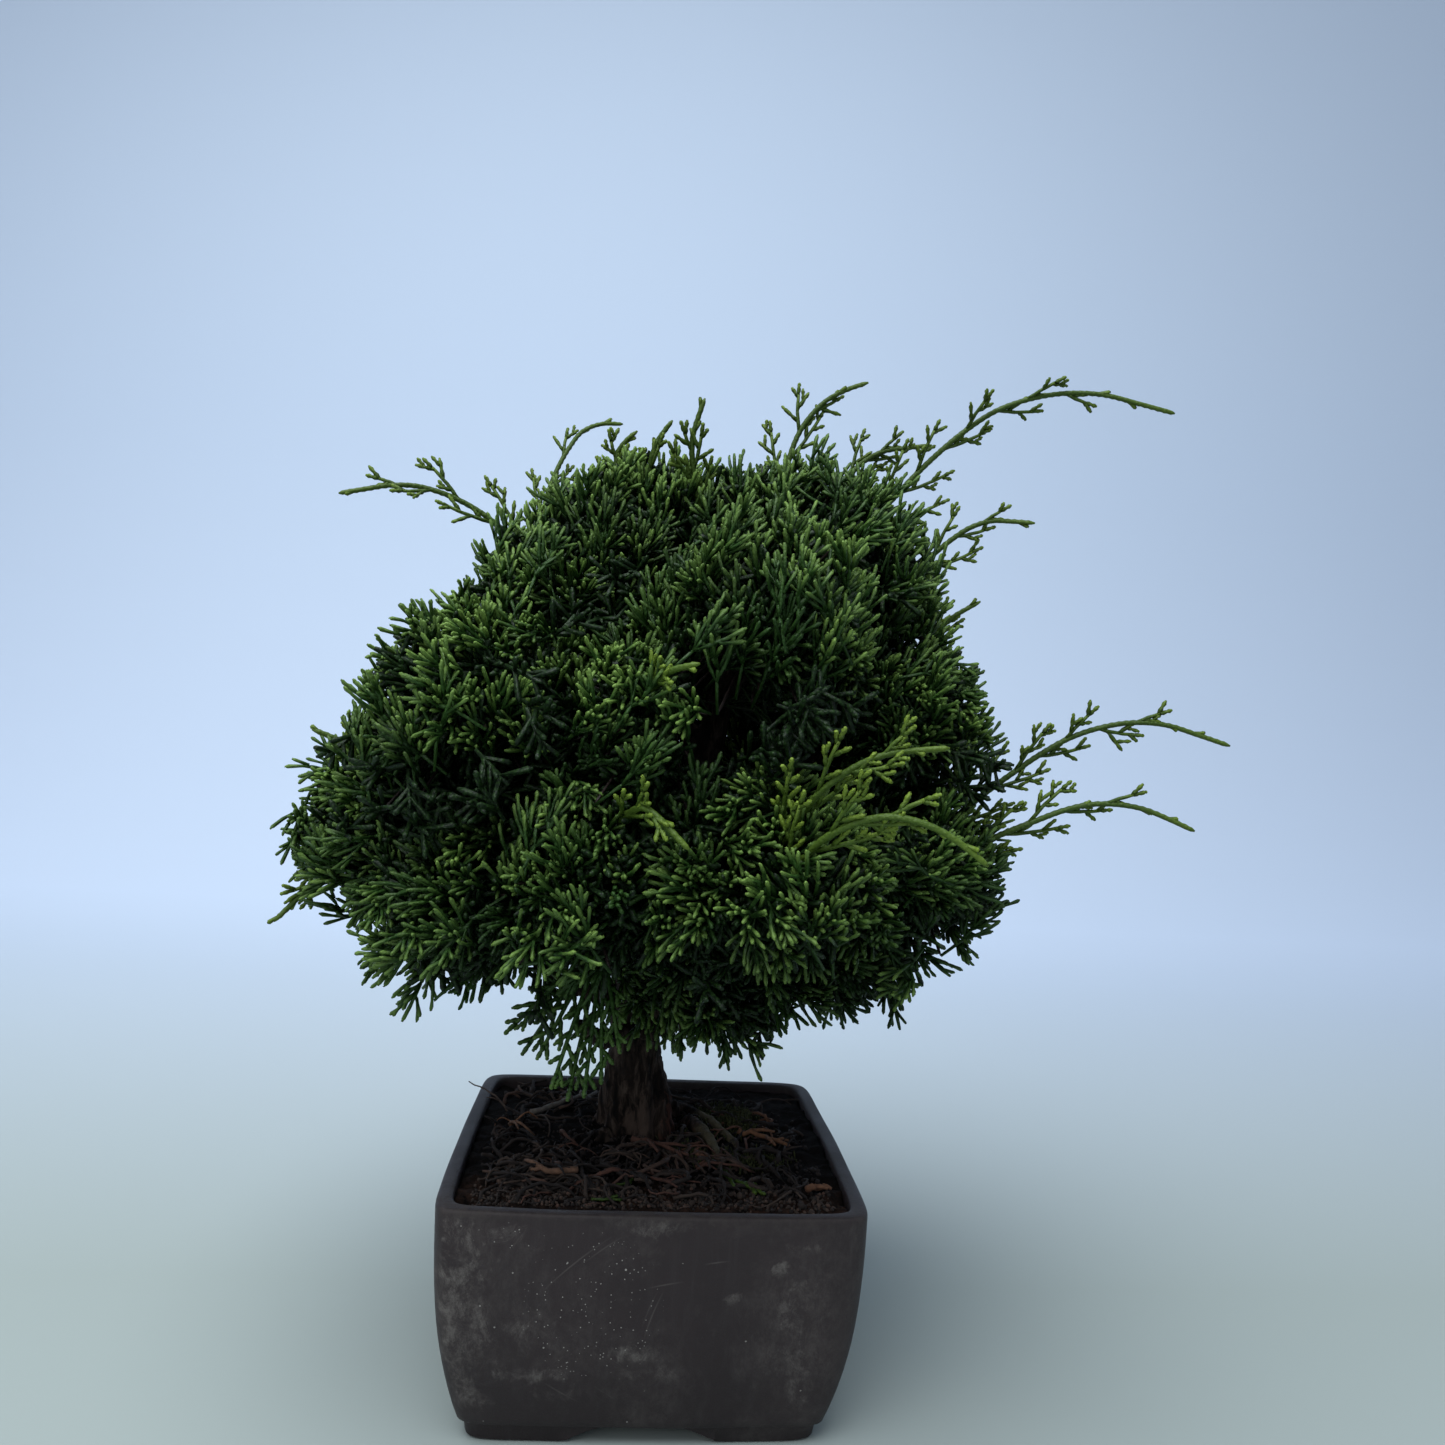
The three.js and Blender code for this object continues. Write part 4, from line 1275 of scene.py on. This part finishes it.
def add_shoot(node, root, material):
    """A young shoot: a smooth stem, side sprigs that shorten outwards, and buds on a bare end."""
    rng = random.Random(node)
    line = centre_line(node, root)
    length = sum((b - a).length for a, b in zip(line, line[1:]))
    rings = max(6, round(length / (1.1 * MM)))
    places = smooth_line(line, rings)
    greens = Greenery()
    look = shoot_look(node, rng)
    greens.rod(places, stem_radii(rings), 7, along=(0.1, 0.7), **look)
    facing = Vector((rng.uniform(-0.4, 0.4), -1, rng.uniform(-0.4, 0.4)))
    gap = min(SPRIG_GAPS[1], max(SPRIG_GAPS[0], 0.15 * length))
    longest = min(LONGEST_SPRIG, 0.45 * length)
    walked = 2 * MM
    side = rng.choice((-1, 1))
    while walked < 0.94 * length:
        along = walked / length
        at = round(along * (rings - 1))
        way = (places[min(at + 1, rings - 1)] - places[max(0, at - 1)]).normalized()
        fan = way.cross(facing).normalized()
        side = -side
        turned = Matrix.Rotation(rng.uniform(-0.5, 0.5), 3, way) @ fan
        size = longest * max(0.0, 1 - 1.12 * along) ** 0.8 * rng.uniform(0.75, 1.1)
        if size > SHORTEST_SPRIG:
            out = leaning(way, turned * side, rng.uniform(*SPRIG_FORK))
            grow_sprig(greens, places[at], out, size, turned, way, look, rng)
            walked += gap * rng.uniform(0.75, 1.25)
        else:
            bud = leaning(way, turned * side, rng.uniform(*BUD_FORK))
            tip = places[at] + bud * rng.uniform(*BUD_LENGTHS) * MM
            greens.twig(SHORT, places[at], tip, 1.3 * MM, rng, along=(0.4, 1.0), **look)
            walked += BUD_GAP * rng.uniform(0.8, 1.3)
    greens.add_to_scene(node.replace("shoot_", "young_shoot_"), material, "shoot", node)


def add_shoots():
    """Every young shoot, each growing away from the upper trunk; returns their material."""
    material = foliage_material("young_scale_leaves", *YOUNG_COLOURS)
    low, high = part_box("trunk")
    root = Vector((POT_MIDDLE.x, POT_MIDDLE.y, 0.75 * high.z))
    for node in sorted(NODES):
        if node.startswith("shoot_"):
            add_shoot(node, root, material)
    return material


# ---- Litter on the soil ----

SOIL_HALF = 52 * MM
FRONT_STRIP = (-52, -34, -49)  # of the soil along y in millimetres: nearest, farthest, most often
TWIGLET_STEPS = 8
CRUMBS, FRONT_SHARE = 2600, 0.4
BROWN_CRUMBS = POT_MIDDLE.y - 30 * MM  # nearer than this
MOSS_TUFTS, MOSS_VOXEL = 1500, 0.8 * MM
SMALL_MOSS = 5 * MM
MOSS_SPOTS = ((24, 19), (31, 12), (19, 9), (11, -11), (28, -16), (36, -13), (22, 27))
CRUMB = crumb_unit("crumb")
REST[CRUMB.name] = resting(CRUMB)

# Where shed twiglets lie: middle, spread, how many, and the tints between which they vary.
TANGLES = (
    ((-24, -31), (19, 11), 108, (0.06, 0.62)),
    ((-43, -8), (8, 20), 46, (0.04, 0.56)),
    ((1, -17), (8, 6), 30, (0.30, 0.70)),
    ((-38, 36), (13, 14), 46, (0.04, 0.46)),
    ((30, 28), (17, 17), 36, (0.02, 0.40)),
    ((36, -26), (14, 15), 40, (0.02, 0.44)),
    ((-45, 11), (2, 1), 3, (0.78, 0.86)),
    ((33, 14), (6, 8), 7, (0.60, 0.82)),
    ((0, 0), (40, 40), 56, (0.02, 0.50)),
)


def ground_at(tree, x, y):
    """The soil's height under a point, or None off the soil or beside the trunk."""
    if max(abs(x - POT_MIDDLE.x), abs(y - POT_MIDDLE.y)) > SOIL_HALF:
        return None
    hit = tree.ray_cast(Vector((x, y, 80 * MM)), -UP)[0]
    return hit.z if hit is not None and hit.z > SOIL_LEVEL - 2 * MM else None


def soil_spot(rng):
    """A random place on the soil, more often near the front and the left."""
    across = rng.triangular(-1, 1, -0.25) if rng.random() < 0.6 else rng.uniform(-1, 1)
    deep = rng.triangular(-1, 1, -0.75)
    return POT_MIDDLE + Vector((across, deep, 0)) * SOIL_HALF


def front_spot(rng):
    """A random place on the bare earth along the front."""
    return POT_MIDDLE + Vector((rng.uniform(-1, 1) * SOIL_HALF, rng.triangular(*FRONT_STRIP) * MM, 0))


def wander(tree, place, length, thickness, rng):
    """A shed twiglet's curling course over the soil, resting on it or arching over others."""
    turn = rng.uniform(0, math.tau)
    curl = rng.gauss(0, 0.34)
    arch = rng.uniform(0.2, 3.4) * MM
    points = []
    for i in range(TWIGLET_STEPS + 1):
        low = ground_at(tree, place.x, place.y)
        if low is None:
            break
        lift = 0.3 * thickness + arch * math.sin(math.pi * i / TWIGLET_STEPS)
        points.append(Vector((place.x, place.y, low + lift)))
        place = place + Vector((math.cos(turn), math.sin(turn), 0)) * length / TWIGLET_STEPS
        turn += curl + rng.gauss(0, 0.22)
    return points


def tapering(count, thickness, end=0.55, knobs=0.0):
    """Radii from a thickness down to a share of it, larger and smaller by turns where it is knobbly."""
    radii = []
    for i in range(count):
        taper = 1 - (1 - end) * i / (count - 1)
        radii.append(thickness / 2 * taper * (1 + (knobs if i % 2 else -knobs)))
    return radii


def add_twiglets(tree, material):
    """Shed twiglets in tangles, every other one with a fork."""
    rng = random.Random("twiglets")
    greens = Greenery()
    for middle, spread, count, tints in TANGLES:
        for _ in range(count):
            across = Vector((rng.gauss(middle[0], spread[0]), rng.gauss(middle[1], spread[1]), 0))
            thickness = rng.uniform(0.5, 1.4) * rng.uniform(0.9, 1.5) * MM
            points = wander(tree, POT_MIDDLE + across * MM, rng.uniform(8, 22) * MM, thickness, rng)
            if len(points) < 4:
                continue
            tint = tints[0] + (tints[1] - tints[0]) * rng.random() ** 1.7
            greens.rod(points, tapering(len(points), thickness, 0.6, 0.09), 5, tint=tint)
            if rng.random() < 0.5:
                root = points[rng.randrange(1, len(points) - 1)]
                way = (points[-1] - points[0]).normalized()
                side = way.cross(UP) * rng.choice((-1, 1))
                tip = root + leaning(way, side, rng.uniform(25, 55)) * rng.uniform(3, 7) * MM
                bent = root.lerp(tip, 0.5) + UP * 0.3 * MM
                greens.rod([root, bent, tip], tapering(3, 0.8 * thickness), 5, tint=tint)
    greens.add_to_scene("shed_twiglets", material, "deadwood")


def add_crumbs(tree, material):
    """Crumbs all over the soil, smaller and browner on the bare earth along the front."""
    rng = random.Random("crumbs")
    greens = Greenery()
    for _ in range(CRUMBS):
        front = rng.random() < FRONT_SHARE
        place = front_spot(rng) if front else soil_spot(rng)
        low = ground_at(tree, place.x, place.y)
        if low is None:
            continue
        size = rng.uniform(0.5, 1.3) * rng.uniform(0.8, 1.2 if front else 1.8) * MM
        turn = Matrix.Rotation(rng.uniform(0, math.tau), 4, (rng.random(), rng.random(), 0.2))
        stretch = Matrix.Diagonal((size, size * rng.uniform(0.6, 1.2), size * rng.uniform(0.5, 0.9), 1))
        CRUMB.vertices.foreach_set("co", REST[CRUMB.name])
        CRUMB.transform(Matrix.Translation((place.x, place.y, low + 0.2 * size)) @ turn @ stretch)
        palest = 0.14 if place.y > BROWN_CRUMBS else 0.5
        greens.take(CRUMB, np.zeros(len(CRUMB.vertices)), tint=rng.uniform(0.0, palest))
    greens.add_to_scene("soil_crumbs", material, "soil")


# The larger bits of litter: tint, thickness and lift in millimetres, and forks as (share, side, length).
LITTER = {
    "fallen_twig_left": (1.0, 2.1, 3.6, ((0.8, -1, 4),)),
    "fallen_twig_right": (0.80, 2.0, 3.6, ((0.3, -1, 8), (0.55, 1, 7), (0.8, -1, 4))),
    "fallen_twig_front": (0.62, 1.9, 3.4, ((0.2, 1, 9), (0.45, -1, 8), (0.7, 1, 6))),
    "fallen_twig_corner": (0.84, 2.4, 3.6, ((0.8, 1, 8),)),
    "bark_flake": (0.76, 2.4, 2.8, ((0.35, 1, 4), (0.7, 1, 3))),
    "rim_twig": (0.40, 0.8, 0.0, ((0.3, -1, 5),)),
}


def add_fallen(node, material):
    """A fallen twig with its forks, a little crooked, where its plain solid lies."""
    tint, width, lift, forks = LITTER[node]
    rng = random.Random(node)
    line = smooth_line(centre_line(node, POT_MIDDLE), TWIGLET_STEPS + 1)
    crooked = [point + jitter(rng, 0.22) * MM + UP * lift * MM for point in line]
    greens = Greenery()
    greens.rod(crooked, tapering(len(crooked), width * MM), 7, tint=tint)
    for share, side, length in forks:
        root = crooked[round(share * TWIGLET_STEPS)]
        way = (line[-1] - line[0]).normalized()
        out = leaning(way, way.cross(UP).normalized() * side, rng.uniform(28, 44))
        tip = root + out * length * MM
        middle = root.lerp(tip, 0.5) + Vector((rng.gauss(0, 0.3), rng.gauss(0, 0.3), 0.5)) * MM
        greens.rod([root, middle, tip], tapering(3, 0.75 * width * MM), 6, tint=tint)
    greens.add_to_scene("dry_" + node, material, "deadwood", node)


# Other shed bits that are still green: start and end on the soil, in millimetres.
SHED_GREEN = (((-12.5, -37.5), (-3, -34)), ((-18, -47), (-7, -46.5)), ((20, -22), (23, -29)))


def add_dry_sprig(tree, material):
    """A shed sprig that is still green, and a few bits like it."""
    rng = random.Random("dry_sprig")
    line = smooth_line(centre_line("dry_sprig", POT_MIDDLE), 6)
    greens = Greenery()
    way = (line[-1] - line[0]).normalized()
    growth = {"tint": 0.25, "fresh": 0.1}
    fan = way.cross(UP).normalized()
    length = (line[-1] - line[0]).length
    grow_sprig(greens, line[0] + SOIL_RISE * UP, way, length, fan, way, growth, rng)
    for start, end in SHED_GREEN:
        root, tip = (Vector((*spot, 0)) * MM + POT_MIDDLE for spot in (start, end))
        root.z, tip.z = (ground_at(tree, spot.x, spot.y) + 1.2 * MM for spot in (root, tip))
        for share in (0.0, 0.4):
            side = Vector((rng.uniform(-2, 2), rng.uniform(-2, 2), rng.uniform(-0.5, 1))) * MM
            outer = root.lerp(tip, 0.7) + side
            greens.twig(LONG, root.lerp(tip, share), outer, 1.0 * MM, rng, tint=0.0, fresh=0.0)
    greens.add_to_scene("shed_sprig", material, "deadwood", "dry_sprig")


def add_moss(tree, material):
    """Low, thin tufts over a bumpy cushion and on small spots round it."""
    rng = random.Random("moss")
    bm = remeshed(merged_copy("moss_patch"), MOSS_VOXEL)
    for vert in bm.verts:
        bumps = noise.noise(vert.co * 300) + 0.5 * noise.noise(vert.co * 800)
        vert.co.z += SOIL_RISE + (bumps - 0.8) * MM
    low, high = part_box("moss_patch")
    middle, half = (low + high) / 2, (high - low) / 2
    greens = Greenery()
    cushion = to_mesh(bm, "cushion")
    greens.take(cushion, np.zeros(len(cushion.vertices)))
    spots = [(middle.x, middle.y, half.x, half.y)] * 3
    for x, y in MOSS_SPOTS:
        spots.append((POT_MIDDLE.x + x * MM, POT_MIDDLE.y + y * MM, SMALL_MOSS, SMALL_MOSS))
    for _ in range(MOSS_TUFTS):
        x, y, wide, deep = rng.choice(spots)
        x += rng.gauss(0, 0.75) * wide
        y += rng.gauss(0, 0.75) * deep
        ground = ground_at(tree, x, y)
        if ground is None:
            continue
        root = Vector((x, y, ground - 0.3 * MM))
        inside = ((x - middle.x) / half.x) ** 2 + ((y - middle.y) / half.y) ** 2
        if inside < 1:
            root.z = max(root.z, middle.z + SOIL_RISE + (half.z - 1 * MM) * math.sqrt(1 - inside))
        lean = Vector((rng.gauss(0, 0.5), rng.gauss(0, 0.5), 1)).normalized()
        tip = root + lean * rng.uniform(1.2, 3.2) * MM
        greens.twig(SHORT, root, tip, rng.uniform(0.3, 0.6) * MM, rng)
    greens.add_to_scene("moss_tufts", material, "moss", "moss_patch")


def add_litter(tree, green):
    """What lies on the soil, and the mesh over the drain hole, whose solid only needs its material."""
    dead = dead_material()
    add_twiglets(tree, dead)
    add_crumbs(tree, dead)
    for node in LITTER:
        add_fallen(node, dead)
    add_dry_sprig(tree, green)
    add_moss(tree, moss_material())
    plastic = net_material()
    for slot in NODES["drainage_mesh"].material_slots:
        slot.link = "OBJECT"
        slot.material = plastic


# ---- Stage ----

SHEET_HALF = 3.0
SHEET_ROWS = 60
WALL_START, WALL_BEND = 0.6, 0.6
FLOOR_COLOUR, WALL_COLOUR = (0.335, 0.385, 0.365), (0.66, 0.76, 0.90)
COLOUR_START, COLOUR_END = 0.05, 0.75
SKY_COLOUR, SKY_STRENGTH = (0.74, 0.84, 1.0), 0.42
LIT_PLACE = Vector((0, 0, 0.15))

# The lamps: place, size, power and colour.
LAMPS = {
    "overhead": ((-0.3, -0.35, 1.3), 1.3, 22, (0.93, 0.97, 1.0)),
    "front": ((-0.9, -1.2, 0.7), 1.0, 4, (1.0, 0.98, 0.95)),
}


def add_stage():
    """One pale sheet: the floor, curving up into a wall well behind the pot."""
    bm = bmesh.new()
    bmesh.ops.create_grid(bm, x_segments=1, y_segments=SHEET_ROWS, size=SHEET_HALF)
    for vert in bm.verts:
        back = vert.co.y - WALL_START
        if back > 0:
            turn = min(back / WALL_BEND, math.pi / 2)
            rest = max(0.0, back - WALL_BEND * math.pi / 2)
            vert.co.y = WALL_START + WALL_BEND * math.sin(turn)
            vert.co.z = WALL_BEND * (1 - math.cos(turn)) + rest
    floor = in_scene("floor", to_mesh(bm, "floor"))
    floor.data.shade_smooth()
    material, tree, shader = new_material("pale_floor", 0.85)
    share = fade(tree, axis_of(tree, object_place(tree), "Y"), COLOUR_START, COLOUR_END)
    tree.links.new(mix(tree, share, FLOOR_COLOUR, WALL_COLOUR), shader.inputs["Base Color"])
    floor.data.materials.append(material)


def add_light(name, place, size, power, colour):
    """A round lamp that faces the crown."""
    light = bpy.data.lights.new(name, "AREA")
    light.shape = "DISK"
    light.size = size
    light.energy = power
    light.color = colour
    lamp = in_scene(name, light)
    lamp.location = place
    lamp.rotation_euler = (LIT_PLACE - lamp.location).to_track_quat("-Z", "Y").to_euler()


def add_lighting():
    world = bpy.data.worlds.new("world")
    bpy.context.scene.world = world
    world.use_nodes = True
    sky = world.node_tree.nodes["Background"]
    sky.inputs["Color"].default_value = (*SKY_COLOUR, 1)
    sky.inputs["Strength"].default_value = SKY_STRENGTH
    for name, lamp in LAMPS.items():
        add_light(name, *lamp)


def add_camera():
    camera = bpy.data.cameras.new("camera")
    camera.sensor_width = 36
    camera.lens = CAMERA_LENS
    camera.clip_start = 0.01
    view = in_scene("camera", camera)
    turn = Matrix.Rotation(math.radians(-CAMERA_YAW), 4, "Z")
    turn = turn @ Matrix.Rotation(math.radians(90 + CAMERA_PITCH), 4, "X")
    turn = turn @ Matrix.Rotation(math.radians(CAMERA_ROLL), 4, "Z")
    view.matrix_world = Matrix.Translation(POT_MIDDLE + CAMERA_PLACE) @ turn
    bpy.context.scene.camera = view
    bpy.context.scene.view_settings.view_transform = "Standard"


add_camera()
add_lighting()
add_stage()
add_pot()
add_trunk()
ground = add_soil()
add_foliage()
young = add_shoots()
add_litter(ground, young)

bpy.context.view_layer.update()
